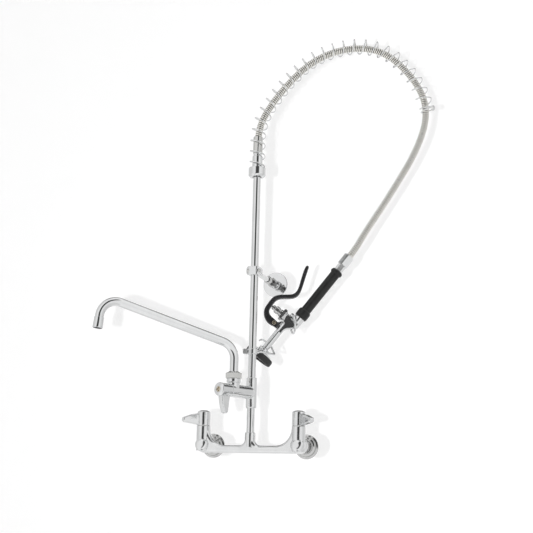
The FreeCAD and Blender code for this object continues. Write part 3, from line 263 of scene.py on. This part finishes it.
def smudgeGroup():
    # Handling marks and dried water: broad patches with small spots in them
    group = shaderGroup("handlingMarks", [("Place", (0.0, 0.0, 0.0)), ("Patch Scale", 38.0),
                                          ("Spot Scale", 420.0)], ["Patches", "Spots"])
    t = Tree(group)
    given = t.add("NodeGroupInput").outputs
    patch = t.add("ShaderNodeTexNoise", Vector=given["Place"], Scale=given["Patch Scale"], Detail=4.0,
                  Roughness=0.62, Distortion=0.4)
    spot = t.add("ShaderNodeTexVoronoi", Vector=given["Place"], Scale=given["Spot Scale"],
                 Randomness=1.0)
    patches = t.between(patch.outputs["Fac"], 0.38, 0.72)
    spots = t.math("MULTIPLY", t.between(spot.outputs["Distance"], 0.05, 0.22, 1.0, 0.0), patches)
    t.add("NodeGroupOutput", Patches=patches, Spots=spots)
    return group


def waveGroup():
    # Long low waves that polishing leaves, with a finer ripple over them
    group = shaderGroup("polishingWaves", [("Place", (0.0, 0.0, 0.0)), ("Wave Scale", 30.0),
                                           ("Ripple Scale", 260.0), ("Ripple Share", 0.12)], ["Height"])
    t = Tree(group)
    given = t.add("NodeGroupInput").outputs
    wave = t.add("ShaderNodeTexNoise", Vector=given["Place"], Scale=given["Wave Scale"], Detail=1.0)
    ripple = t.add("ShaderNodeTexNoise", Vector=given["Place"], Scale=given["Ripple Scale"], Detail=2.0)
    fine = t.math("MULTIPLY", ripple.outputs["Fac"], given["Ripple Share"])
    t.add("NodeGroupOutput", Height=t.math("ADD", wave.outputs["Fac"], fine))
    return group


def hairlineGroup():
    # Fine lines along one direction, from drawing or turning
    group = shaderGroup("hairlines", [("Place", (0.0, 0.0, 0.0)), ("Stretch", (60.0, 60.0, 4000.0)),
                                      ("Contrast", 0.5)], ["Lines"])
    t = Tree(group)
    given = t.add("NodeGroupInput").outputs
    scaled = t.vectorMath("MULTIPLY", given["Place"], given["Stretch"])
    lines = t.add("ShaderNodeTexNoise", Vector=scaled, Scale=1.0, Detail=3.0, Roughness=0.7)
    low = t.math("SUBTRACT", 0.5, t.math("MULTIPLY", given["Contrast"], 0.3))
    high = t.math("ADD", 0.5, t.math("MULTIPLY", given["Contrast"], 0.3))
    t.add("NodeGroupOutput", Lines=t.between(lines.outputs["Fac"], low, high))
    return group


def grainGroup():
    # Pebbled skin of moulded rubber and dipped plastic
    group = shaderGroup("mouldedGrain", [("Place", (0.0, 0.0, 0.0)), ("Pebble Scale", 1500.0),
                                         ("Haze Scale", 70.0)], ["Height", "Haze"])
    t = Tree(group)
    given = t.add("NodeGroupInput").outputs
    pebble = t.add("ShaderNodeTexVoronoi", {"feature": "SMOOTH_F1"}, Vector=given["Place"],
                   Scale=given["Pebble Scale"], Smoothness=0.6, Randomness=1.0)
    fine = t.math("MULTIPLY", given["Pebble Scale"], 2.0)
    speck = t.add("ShaderNodeTexNoise", Vector=given["Place"], Scale=fine, Detail=2.0)
    haze = t.add("ShaderNodeTexNoise", Vector=given["Place"], Scale=given["Haze Scale"], Detail=5.0,
                 Roughness=0.6)
    height = t.math("ADD", pebble.outputs["Distance"], t.math("MULTIPLY", speck.outputs["Fac"], 0.35))
    t.add("NodeGroupOutput", Height=height, Haze=t.between(haze.outputs["Fac"], 0.35, 0.7))
    return group


smudges = smudgeGroup()
waves = waveGroup()
hairlines = hairlineGroup()
grain = grainGroup()


def newMaterial(name, metallic=0.0, **fixed):
    material = bpy.data.materials.new(name)
    material.use_nodes = True
    t = Tree(material.node_tree)
    shader = next(n for n in material.node_tree.nodes if n.type == "BSDF_PRINCIPLED")
    shader.inputs["Metallic"].default_value = metallic
    for key, value in fixed.items():
        t.put(shader, key, value)
    place = t.add("ShaderNodeTexCoord").outputs["Object"]
    return material, t, shader, place


def useGroup(t, group, place, **inputs):
    node = t.add("ShaderNodeGroup", {"node_tree": group}, Place=place)
    for key, value in inputs.items():
        t.put(node, key, value)
    return node.outputs


def bumped(t, shader, height, strength, distance, under=None):
    bump = t.add("ShaderNodeBump", Height=height, Strength=strength, Distance=distance)
    if under is not None:
        t.put(bump, "Normal", under)
    t.put(shader, "Normal", bump.outputs[0])
    return bump.outputs[0]


def tinted(t, shader, mask, dark, light):
    mix = t.add("ShaderNodeMix", {"data_type": "RGBA"}, Factor=mask, A=(*dark, 1), B=(*light, 1))
    t.put(shader, "BaseColor", next(o for o in mix.outputs if o.enabled))


def chromeMaterial(name, c):
    # Bright chrome plate: polish waves bend the reflections, marks dull it a little
    material, t, shader, place = newMaterial(name, metallic=1.0)
    marks = useGroup(t, smudges, place, PatchScale=c["patchScale"], SpotScale=c["spotScale"])
    tinted(t, shader, marks["Patches"], c["dull"], c["bright"])
    low, high = c["roughness"]
    rough = t.between(marks["Patches"], 0.0, 1.0, low, high, smooth=False)
    spots = t.math("MULTIPLY", marks["Spots"], c["spotRoughness"])
    t.put(shader, "Roughness", t.math("ADD", rough, spots))
    height = useGroup(t, waves, place, WaveScale=c["waveScale"], RippleScale=c["rippleScale"],
                      RippleShare=c["rippleShare"])["Height"]
    under = None
    if c.get("castRound"):
        under = t.add("ShaderNodeBevel", {"samples": 6}, Radius=c["castRound"]).outputs[0]
    normal = bumped(t, shader, height, c["waveStrength"], c["waveHeight"], under)
    if c.get("lines"):
        lines = useGroup(t, hairlines, place, Stretch=c["lines"], Contrast=0.6)["Lines"]
        bumped(t, shader, lines, c["lineStrength"], 0.00002, normal)
    return material


polishedLook = {
    "bright": (0.780, 0.785, 0.787), "dull": (0.735, 0.741, 0.745), "roughness": (0.030, 0.070),
    "spotRoughness": 0.05, "patchScale": 34.0, "spotScale": 420.0, "waveScale": 26.0,
    "rippleScale": 240.0, "rippleShare": 0.05, "waveStrength": 0.35, "waveHeight": 0.0006,
}
castLook = dict(polishedLook, waveScale=42.0, waveHeight=0.0011, rippleShare=0.10,
                roughness=(0.06, 0.12), castRound=0.0025)
turnedLook = dict(polishedLook, waveScale=60.0, waveHeight=0.0002, lines=(90.0, 90.0, 5200.0),
                  lineStrength=0.10, roughness=(0.05, 0.11))
nutLook = dict(turnedLook, bright=(0.66, 0.66, 0.645), dull=(0.60, 0.60, 0.585), roughness=(0.10, 0.17))
plateLook = dict(polishedLook, bright=(0.62, 0.62, 0.615), dull=(0.54, 0.54, 0.535), roughness=(0.06, 0.12))
# Painted shade: the union nuts get a much darker copy of the plate chrome
unionShadedLook = dict(plateLook, bright=(0.30, 0.30, 0.297), dull=(0.25, 0.25, 0.247))
softLook = dict(turnedLook, bright=(0.86, 0.865, 0.865), dull=(0.79, 0.795, 0.795), roughness=(0.20, 0.30))
boltLook = dict(softLook, roughness=(0.38, 0.48))
wireLook = dict(polishedLook, bright=(0.86, 0.865, 0.865), dull=(0.76, 0.765, 0.765), waveScale=120.0,
                waveHeight=0.00015, spotScale=700.0, roughness=(0.03, 0.07))

chromeCast = chromeMaterial("chromeCast", castLook)
chromeTube = chromeMaterial("chromeTube", polishedLook)
chromeTurned = chromeMaterial("chromeTurned", turnedLook)
chromeNut = chromeMaterial("chromeNut", nutLook)
chromePlate = chromeMaterial("chromePlate", plateLook)
chromeUnionShaded = chromeMaterial("chromeUnionShaded", unionShadedLook)
chromeSoft = chromeMaterial("chromeSoft", softLook)
zincBolt = chromeMaterial("zincBolt", boltLook)
springWire = chromeMaterial("springWire", wireLook)


def brassMaterial():
    # Bare machined brass, slightly tarnished in patches
    material, t, shader, place = newMaterial("machinedBrass", metallic=1.0)
    marks = useGroup(t, smudges, place, PatchScale=220.0, SpotScale=1500.0)
    tinted(t, shader, marks["Patches"], (0.58, 0.50, 0.38), (0.80, 0.73, 0.60))
    t.put(shader, "Roughness", t.between(marks["Patches"], 0.0, 1.0, 0.30, 0.18, smooth=False))
    lines = useGroup(t, hairlines, place, Stretch=(300.0, 300.0, 6000.0), Contrast=0.8)["Lines"]
    bumped(t, shader, lines, 0.25, 0.00003)
    return material


def hoseMaterial():
    # Stainless strip: straw-grey, with painted shade and dirt darkening the grooves, with faint lines along
    # the strip
    material, t, shader, place = newMaterial("hoseStrip", metallic=1.0)
    marks = useGroup(t, smudges, place, PatchScale=55.0, SpotScale=900.0)
    groove = t.add("ShaderNodeAttribute", {"attribute_name": "groove"}).outputs["Fac"]
    crest = t.math("SUBTRACT", 1.0, groove)
    mask = t.math("MULTIPLY", t.between(marks["Patches"], 0.0, 1.0, 1.0, 0.90, smooth=False), crest)
    t.put(shader, "Metallic", t.between(crest, 0.0, 0.6))         # dirt and shade fill the groove
    # painted shade and dirt: the groove colour goes near black, the crests keep the strip's straw-grey
    tinted(t, shader, mask, (0.016, 0.014, 0.010), (0.98, 0.965, 0.915))
    t.put(shader, "Roughness", t.between(marks["Patches"], 0.0, 1.0, 0.22, 0.30, smooth=False))
    lines = useGroup(t, hairlines, place, Stretch=(1400.0, 1400.0, 1400.0), Contrast=0.7)["Lines"]
    bumped(t, shader, lines, 0.12, 0.00004)
    return material


def blackMaterial(name, c):
    # Moulded or dipped black: fine pebbles, a grey haze where hands have rubbed it
    material, t, shader, place = newMaterial(name)
    shader.inputs["IOR"].default_value = c["ior"]
    skin = useGroup(t, grain, place, PebbleScale=c["pebbleScale"], HazeScale=c["hazeScale"])
    tinted(t, shader, skin["Haze"], c["dark"], c["light"])
    low, high = c["roughness"]
    t.put(shader, "Roughness", t.between(skin["Haze"], 0.0, 1.0, low, high, smooth=False))
    bumped(t, shader, skin["Height"], c["grainStrength"], c["grainHeight"])
    return material


gripLook = {
    "dark": (0.010, 0.010, 0.010), "light": (0.017, 0.018, 0.017), "roughness": (0.34, 0.46), "ior": 1.40,
    "pebbleScale": 1500.0, "hazeScale": 60.0, "grainStrength": 0.35, "grainHeight": 0.00018,
}
leverLook = dict(gripLook, dark=(0.014, 0.014, 0.015), light=(0.024, 0.024, 0.026), roughness=(0.20, 0.32),
                 pebbleScale=900.0, grainStrength=0.18, grainHeight=0.00012, ior=1.52)
rubberLook = dict(gripLook, dark=(0.022, 0.022, 0.022), light=(0.036, 0.036, 0.035), roughness=(0.55, 0.7),
                  pebbleScale=1900.0, grainStrength=0.45)
outletLook = dict(gripLook, dark=(0.40, 0.41, 0.42), light=(0.52, 0.53, 0.54), roughness=(0.4, 0.5),
                  pebbleScale=2200.0, grainStrength=0.15)

gripRubber = blackMaterial("gripRubber", gripLook)
dippedLever = blackMaterial("dippedLever", leverLook)
bumperRubber = blackMaterial("bumperRubber", rubberLook)
outletPlastic = blackMaterial("outletPlastic", outletLook)
machinedBrass = brassMaterial()
hoseStrip = hoseMaterial()
print("finishes made")

finishOf = {
    "base_body": chromeCast, "addon_body": chromeCast, "valve_body": chromeCast, "bonnet": chromeSoft,
    "handle_left": chromeCast, "handle_right": chromeCast, "handle_addon": chromeCast,
    "spray_head": chromeTurned, "plunger": chromeSoft, "spray_plate": springWire,
    "riser_pipe": chromeTube, "base_nipple": chromeTube, "nozzle_tube": chromeTube,
    "nozzle_tip": chromeTurned, "bracket_arm": chromeTube, "handle_tube": chromeTube,
    "hook_wire": chromeTube, "hold_down_ring": chromeTube, "nozzle_nut": chromeNut,
    "union_nuts": chromeUnionShaded, "inlet_shank_left": chromePlate, "inlet_shank_right": chromePlate,
    "wall_flange_left": chromePlate, "wall_flange_right": chromePlate,
    "bracket_front_clamp": chromeCast, "bracket_rear_clamp": chromeCast, "bracket_coupling": chromePlate,
    "bracket_flange": chromeTube, "bracket_screws": chromeNut, "bracket_set_screw": chromeNut,
    "hook_clamp": chromeCast, "hook_bolt": zincBolt, "hook_nut": zincBolt,
    "spring_collar": chromeTurned, "top_fitting": chromeTurned, "hose_nut": chromeNut,
    "ferrule_nut": chromeTurned, "grip_adapter": chromeSoft, "overhead_spring": springWire,
    "return_spring": springWire, "nozzle_sleeve": machinedBrass, "nozzle_seals": bumperRubber,
    "flow_insert": outletPlastic, "grip": gripRubber, "grip_collar": gripRubber,
    "squeeze_lever": dippedLever, "lever_screw": machinedBrass, "bumper": bumperRubber,
    "cartridge_left": machinedBrass, "cartridge_right": machinedBrass, "cartridge_addon": machinedBrass,
    "stem_left": machinedBrass, "stem_right": machinedBrass, "stem_addon": machinedBrass,
    "handle_screw_left": machinedBrass, "handle_screw_right": machinedBrass,
    "handle_screw_addon": machinedBrass, "lock_nuts": machinedBrass, "hose": hoseStrip,
}


def paint(obj, material):
    if not obj.data.materials:
        obj.data.materials.append(material)
    for i in range(len(obj.material_slots)):
        obj.material_slots[i].material = material


for name, obj in cadNodes.items():
    paint(obj, finishOf[name])
print("nodes painted")


def makeHose(h):
    line = nurbsLine("hoseLine", hosePoints(h))
    sleeve = grown("hoseSleeve", line, sleeveTree(), {
        "Radius": h["diameter"] / 2, "Rib Pitch": h["ribPitch"], "Rib Depth": h["ribDepth"],
        "Rib Crown": h["ribCrown"], "Groove Start": h["grooveStart"], "Groove Full": h["grooveFull"],
        "Around": h["around"], "Steps per Rib": h["stepsPerRib"], "Material": hoseStrip,
    })
    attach(sleeve, "overhead")
    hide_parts("hose")


makeHose(hose)
print("hose sleeve wound")

# Squeeze valve: places are taken from its two joints, the lever's pivot and the plunger's push
def jointRow(name):
    return next(j for j in frame["joints"] if j["name"] == name)


pivotPoint = Vector(jointRow("lever_squeeze")["pos_m"])
acrossValve = Vector(jointRow("lever_squeeze")["axis"])
offValve = -Vector(jointRow("plunger_push")["axis"])
alongValve = offValve.cross(acrossValve)


def ringLoft(name, rings, closed=False):
    # A skin over rings of equal count, with flat ends unless the rings close on themselves
    shape = bmesh.new()
    loops = [[shape.verts.new(p) for p in ring] for ring in rings]
    pairs = list(zip(loops, loops[1:])) + ([(loops[-1], loops[0])] if closed else [])
    for a, b in pairs:
        for i in range(len(a)):
            k = (i + 1) % len(a)
            shape.faces.new((a[i], a[k], b[k], b[i]))
    if not closed:
        shape.faces.new(loops[0])
        shape.faces.new(loops[-1])
    bmesh.ops.recalc_face_normals(shape, faces=shape.faces)
    mesh = bpy.data.meshes.new(name)
    shape.to_mesh(mesh)
    shape.free()
    return linked(name, mesh)


lever = {
    # along the handle and off it from the pivot, and half the bar's thickness
    "line": [
        (0.0003, -0.0090, 0.0052), (0.0000, -0.0035, 0.0062), (0.0000, 0.0040, 0.0069),
        (-0.0002, 0.0120, 0.0071), (-0.0027, 0.0200, 0.0064), (-0.0076, 0.0265, 0.0056),
        (-0.0148, 0.0303, 0.0052), (-0.0240, 0.0315, 0.0050), (-0.0340, 0.0319, 0.0050),
        (-0.0430, 0.0307, 0.0048), (-0.0512, 0.0256, 0.0043), (-0.0585, 0.0176, 0.0042),
        (-0.0655, 0.0092, 0.0042), (-0.0725, 0.0033, 0.0043), (-0.0805, 0.0010, 0.0042),
        (-0.0900, 0.0023, 0.0039), (-0.1000, 0.0058, 0.0039), (-0.1150, 0.0118, 0.0041),
        (-0.1300, 0.0174, 0.0041), (-0.1385, 0.0198, 0.0034),
    ],
    "halfWidth": 0.0080,
    "cornerRound": 0.0026,
    "steps": 5,                           # between two points of the line
    "slotHalf": 0.0045,
    "slotAlong": (-0.014, 0.026),
    "slotOff": (-0.034, 0.026),
    "boreRadius": 0.00255,
    "cutReach": 0.020,                    # half the bore cutter's length
    "endTurns": (0, 25, 48, 68, 82),      # degrees of the round ends' rings
    "footSwell": 0.45,                    # how far the pivot end is rounded, of a half circle
    "sharpAngle": 38,
}


def smoothRun(points, steps):
    # Catmull-Rom through the points
    points = [Vector(p) for p in points]
    ends = [2 * points[0] - points[1]] + points + [2 * points[-1] - points[-2]]
    run = []
    for a, b, c, d in zip(ends, ends[1:], ends[2:], ends[3:]):
        for i in range(steps):
            t = i / steps
            run.append((2 * b + (c - a) * t + (2 * a - 5 * b + 4 * c - d) * t ** 2
                        + (3 * b - a - 3 * c + d) * t ** 3) / 2)
    return run + [points[-1]]


def barSection(half, width, corner, arc=6):
    # Rectangle with round corners, half its thickness by half its width
    corner = min(corner, half * 0.98, width * 0.98)
    section = []
    for quarter, (sx, sy) in enumerate(((1, 1), (-1, 1), (-1, -1), (1, -1))):
        for i in range(arc):
            turn = math.radians(90 * (quarter + i / (arc - 1)))
            section.append((sx * (half - corner) + corner * math.cos(turn),
                            sy * (width - corner) + corner * math.sin(turn)))
    return section


def inValve(x, y, z):
    return pivotPoint + alongValve * x + offValve * y + acrossValve * z


def cutAway(obj, cutter):
    modifier = obj.modifiers.new("cut", "BOOLEAN")
    modifier.operation = "DIFFERENCE"
    modifier.solver = "EXACT"
    modifier.object = cutter
    bpy.context.view_layer.update()
    made = bpy.data.meshes.new_from_object(obj.evaluated_get(bpy.context.evaluated_depsgraph_get()))
    obj.modifiers.remove(modifier)
    obj.data = made
    bpy.data.objects.remove(cutter)


def makeLever(c):
    run = smoothRun(c["line"], c["steps"])
    rings = []
    for i, (x, y, half) in enumerate(run):
        ahead = run[min(i + 1, len(run) - 1)] - run[max(i - 1, 0)]
        way = Vector((ahead.x, ahead.y)).normalized()
        shrinks = [(0.0, 1.0)]
        if i in (0, len(run) - 1):        # ends close in a round
            turns = [math.radians(a) for a in c["endTurns"]]
            shrinks = [(math.sin(a), math.cos(a)) for a in turns]
        if i == 0:
            shrinks = [(-c["footSwell"] * out, scale) for out, scale in reversed(shrinks)]
        for out, scale in shrinks:
            cx, cy = x + way.x * half * out, y + way.y * half * out
            rest = c["halfWidth"] - half * (1 - scale)
            rings.append([inValve(cx - way.y * u, cy + way.x * u, v)
                          for u, v in barSection(half * scale, rest, c["cornerRound"] * scale)])
    bar = ringLoft("leverBar", rings)
    (low, high), (foot, roof) = c["slotAlong"], c["slotOff"]
    corners = [(low, foot), (high, foot), (high, roof), (low, roof)]
    cutAway(bar, ringLoft("leverSlot", [[inValve(x, y, z) for x, y in corners]
                                        for z in (-c["slotHalf"], c["slotHalf"])]))
    circle = [(c["boreRadius"] * math.cos(math.pi * i / 16), c["boreRadius"] * math.sin(math.pi * i / 16))
              for i in range(32)]
    cutAway(bar, ringLoft("leverBore", [[inValve(x, y, z) for x, y in circle]
                                        for z in (-c["cutReach"], c["cutReach"])]))
    bar.data.shade_smooth()
    bar.data.set_sharp_from_angle(angle=math.radians(c["sharpAngle"]))
    paint(bar, dippedLever)
    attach(bar, "lever")
    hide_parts("squeeze_lever")


makeLever(lever)
print("lever bent")


def makeReturnSpring():
    # The coil's own shape, as a piece of its own on the overhead body
    shape = bmesh.new()
    shape.from_mesh(cadNodes["return_spring"].data)
    bmesh.ops.remove_doubles(shape, verts=shape.verts, dist=0.000001)
    mesh = bpy.data.meshes.new("returnSpring")
    shape.to_mesh(mesh)
    shape.free()
    mesh.shade_smooth()
    spring = linked("returnSpring", mesh)
    paint(spring, springWire)
    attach(spring, "overhead")
    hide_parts("return_spring")
    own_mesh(spring)


makeReturnSpring()
print("return spring set")

# Nut between the riser's neck and the hose: flats with well rounded corners
hoseNut = {
    "foot": 0.6170,
    "top": 0.6540,
    "flats": 0.0194,
    "cornerRadius": 0.0101,
    "turn": 0.7,                          # degrees, where one flat looks
    "neckBore": 0.00925,
    "neckTop": 0.6280,
    "hoseBore": 0.0076,
    "chamfer": 0.0009,
    "footChamfer": 0.00027,
    "sharpAngle": 20,
    "around": 96,
}


def makeHoseNut(c):
    middle = Vector(hose["foot"])

    def ring(z, inset=0.0, radius=None):
        points = []
        for i in range(c["around"]):
            angle = 360 * i / c["around"]
            off = (angle - c["turn"] + 90 + 30) % 60 - 30         # from the nearest flat's middle
            flat = c["flats"] / 2 / math.cos(math.radians(off))
            r = radius or min(flat, c["cornerRadius"]) - inset
            way = math.radians(angle)
            points.append((middle.x + r * math.cos(way), middle.y + r * math.sin(way), z))
        return points

    foot, top, chamfer = c["foot"], c["top"], c["chamfer"]
    rings = [ring(foot, c["footChamfer"]), ring(foot + chamfer), ring(top - chamfer), ring(top, chamfer),
             ring(top, radius=c["hoseBore"]), ring(c["neckTop"], radius=c["hoseBore"]),
             ring(c["neckTop"], radius=c["neckBore"]), ring(foot, radius=c["neckBore"])]
    nut = ringLoft("hoseNut", rings, closed=True)
    nut.data.shade_smooth()
    nut.data.set_sharp_from_angle(angle=math.radians(c["sharpAngle"]))
    paint(nut, chromeNut)
    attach(nut, "overhead")
    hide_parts("hose_nut")


makeHoseNut(hoseNut)
print("hose nut made")

# Studio: pale sweep behind and below, white surroundings with a gap where the camera stands
studio = {
    "wallBehind": 0.50,
    "floorBelow": -0.95,
    "sweepRound": 0.35,
    "sweepSide": 3.5,
    "sweepForward": 4.5,
    "sweepTop": 3.2,
    "sweepGrey": 0.78,                    # share of the lamp's light that the sweep gives back
    "sweepGlow": 0.272,                   # rest of its white, for what looks at it
    "skyLight": 0.78,
    "lampLeft": 0.125,                    # key lamp beside the camera
    "lampBelow": 0.016,
    "lampRadius": 0.010,
    "lampPower": 64.0,
}

# What the chrome mirrors, by direction in degrees: side is 0 in front and + to the right
mirrored = {
    "gapSide": 10,                        # the dark gap where the camera stands
    "gapLean": 0.62,                      # how it leans with height
    "gapRise": (-25, 12),
    "gapHalfWidth": (8, 20),              # at those two heights
    "gapEdge": (0.85, 1.45),
    "gapTop": (46, 60),
    "gapFoot": (-42, -24),
    "gapDepth": 0.93,
    "slotSide": (115, 135),               # a dark ceiling strip above the rear screen
    "slotFoot": (24, 32),
    "slotTop": (54, 66),
    "slotDepth": 0.93,
    "screenFall": (45, 90),               # screens fade away from the gap
    "screenLight": (1.03, 0.80),
    "rearSide": (120, 165),
    "rearLight": 0.16,
    "footRise": 4,                        # their foot is a little greyer
    "footReach": (6, 40),
    "footLight": 0.93,
}


def sweepMaterial(s):
    material = bpy.data.materials.new("paleSweep")
    material.use_nodes = True
    t = Tree(material.node_tree)
    for node in list(material.node_tree.nodes):
        material.node_tree.nodes.remove(node)
    matte = t.add("ShaderNodeBsdfDiffuse", Color=(s["sweepGrey"],) * 3 + (1,))
    path = t.add("ShaderNodeLightPath").outputs
    seen = t.math("ADD", t.math("ADD", path["Is Camera Ray"], path["Is Glossy Ray"]),
                  path["Is Transmission Ray"], clamp=True)
    glow = t.add("ShaderNodeEmission", Color=(1, 1, 1, 1), Strength=t.math("MULTIPLY", seen, s["sweepGlow"]))
    both = t.add("ShaderNodeAddShader")
    t.put(both, 0, matte.outputs[0])
    t.put(both, 1, glow.outputs[0])
    clear = t.add("ShaderNodeBsdfTransparent")
    back = t.add("ShaderNodeNewGeometry").outputs["Backfacing"]
    through = t.math("MAXIMUM", back, path["Is Glossy Ray"])      # mirrors see the surroundings instead
    mix = t.add("ShaderNodeMixShader")
    for i, socket in enumerate((through, both.outputs[0], clear.outputs[0])):
        t.put(mix, i, socket)
    out = t.add("ShaderNodeOutputMaterial")
    t.put(out, "Surface", mix.outputs[0])
    return material


def addSweep(s):
    # Wall, round corner and floor in one sheet whose front faces the object
    outline = [(s["wallBehind"], s["sweepTop"])]
    centre = (s["wallBehind"] - s["sweepRound"], s["floorBelow"] + s["sweepRound"])
    for i in range(13):
        turn = math.radians(90 * i / 12)
        outline.append((centre[0] + s["sweepRound"] * math.cos(turn),
                        centre[1] - s["sweepRound"] * math.sin(turn)))
    outline.append((-s["sweepForward"], s["floorBelow"]))
    points = [(x, y, z) for y, z in outline for x in (-s["sweepSide"], s["sweepSide"])]
    faces = [(2 * i, 2 * i + 2, 2 * i + 3, 2 * i + 1) for i in range(len(outline) - 1)]
    mesh = bpy.data.meshes.new("sweep")
    mesh.from_pydata(points, [], faces)
    mesh.shade_smooth()
    sweep = linked("sweep", mesh)
    mesh.materials.append(sweepMaterial(s))


def addLamp(s):
    data = bpy.data.lights.new("keyLamp", "POINT")
    data.energy = s["lampPower"]
    data.shadow_soft_size = s["lampRadius"]
    lamp = linked("keyLamp", data)
    lamp.location = eyePoint - viewRight * s["lampLeft"] - viewUp * s["lampBelow"]
    lamp.visible_glossy = False


def addSurroundings(s, m):
    world = bpy.data.worlds.new("studioSky")
    world.use_nodes = True
    bpy.context.scene.world = world
    t = Tree(world.node_tree)

    def ramp(value, limits, low=0.0, high=1.0, smooth=True):
        return t.between(value, math.radians(limits[0]), math.radians(limits[1]), low, high, smooth)

    background = next(n for n in world.node_tree.nodes if n.type == "BACKGROUND")
    ray = t.add("ShaderNodeTexCoord").outputs["Generated"]
    x, y, z = (t.add("ShaderNodeSeparateXYZ", Vector=ray).outputs[k] for k in "XYZ")
    side = t.math("ARCTAN2", x, t.math("MULTIPLY", y, -1.0))
    aside = t.math("ABSOLUTE", side)
    rise = t.math("ARCSINE", z)
    # The gap between the two front screens
    middle = t.math("ADD", math.radians(m["gapSide"]), t.math("MULTIPLY", rise, m["gapLean"]))
    across = t.math("ABSOLUTE", t.math("SUBTRACT", side, middle))
    halfWidth = ramp(rise, m["gapRise"], *(math.radians(w) for w in m["gapHalfWidth"]), smooth=False)
    gap = t.between(t.math("DIVIDE", across, halfWidth), *m["gapEdge"], 1.0, 0.0)
    gap = t.math("MULTIPLY", gap, ramp(rise, m["gapTop"], 1.0, 0.0))
    gap = t.math("MULTIPLY", gap, ramp(rise, m["gapFoot"]))
    # The ceiling strip behind
    slot = t.math("MULTIPLY", ramp(rise, m["slotFoot"]), ramp(rise, m["slotTop"], 1.0, 0.0))
    slot = t.math("MULTIPLY", slot, ramp(aside, m["slotSide"]))
    # The screens, front and rear
    screens = t.math("ADD", ramp(across, m["screenFall"], *m["screenLight"]),
                     ramp(aside, m["rearSide"], 0.0, m["rearLight"]))
    fromFoot = t.math("ABSOLUTE", t.math("ADD", rise, math.radians(m["footRise"])))
    mirror = t.math("MULTIPLY", screens, ramp(fromFoot, m["footReach"], m["footLight"], 1.0))
    for dark, depth in ((gap, m["gapDepth"]), (slot, m["slotDepth"])):
        mirror = t.math("MULTIPLY", mirror, t.math("SUBTRACT", 1.0, t.math("MULTIPLY", dark, depth)))
    # White for the camera, the screens for mirrors, even light for the rest
    path = t.add("ShaderNodeLightPath").outputs
    plain = t.math("ADD", path["Is Camera Ray"], path["Is Transmission Ray"], clamp=True)
    glossy = path["Is Glossy Ray"]
    rest = t.math("SUBTRACT", t.math("SUBTRACT", 1.0, plain), glossy, clamp=True)
    strength = t.math("ADD", plain, t.math("MULTIPLY", glossy, mirror))
    strength = t.math("ADD", strength, t.math("MULTIPLY", rest, s["skyLight"]))
    t.put(background, "Color", (1, 1, 1, 1))
    t.put(background, "Strength", strength)


addSweep(studio)
addLamp(studio)
addSurroundings(studio, mirrored)
bpy.context.scene.view_settings.view_transform = "Standard"
print("studio lit")
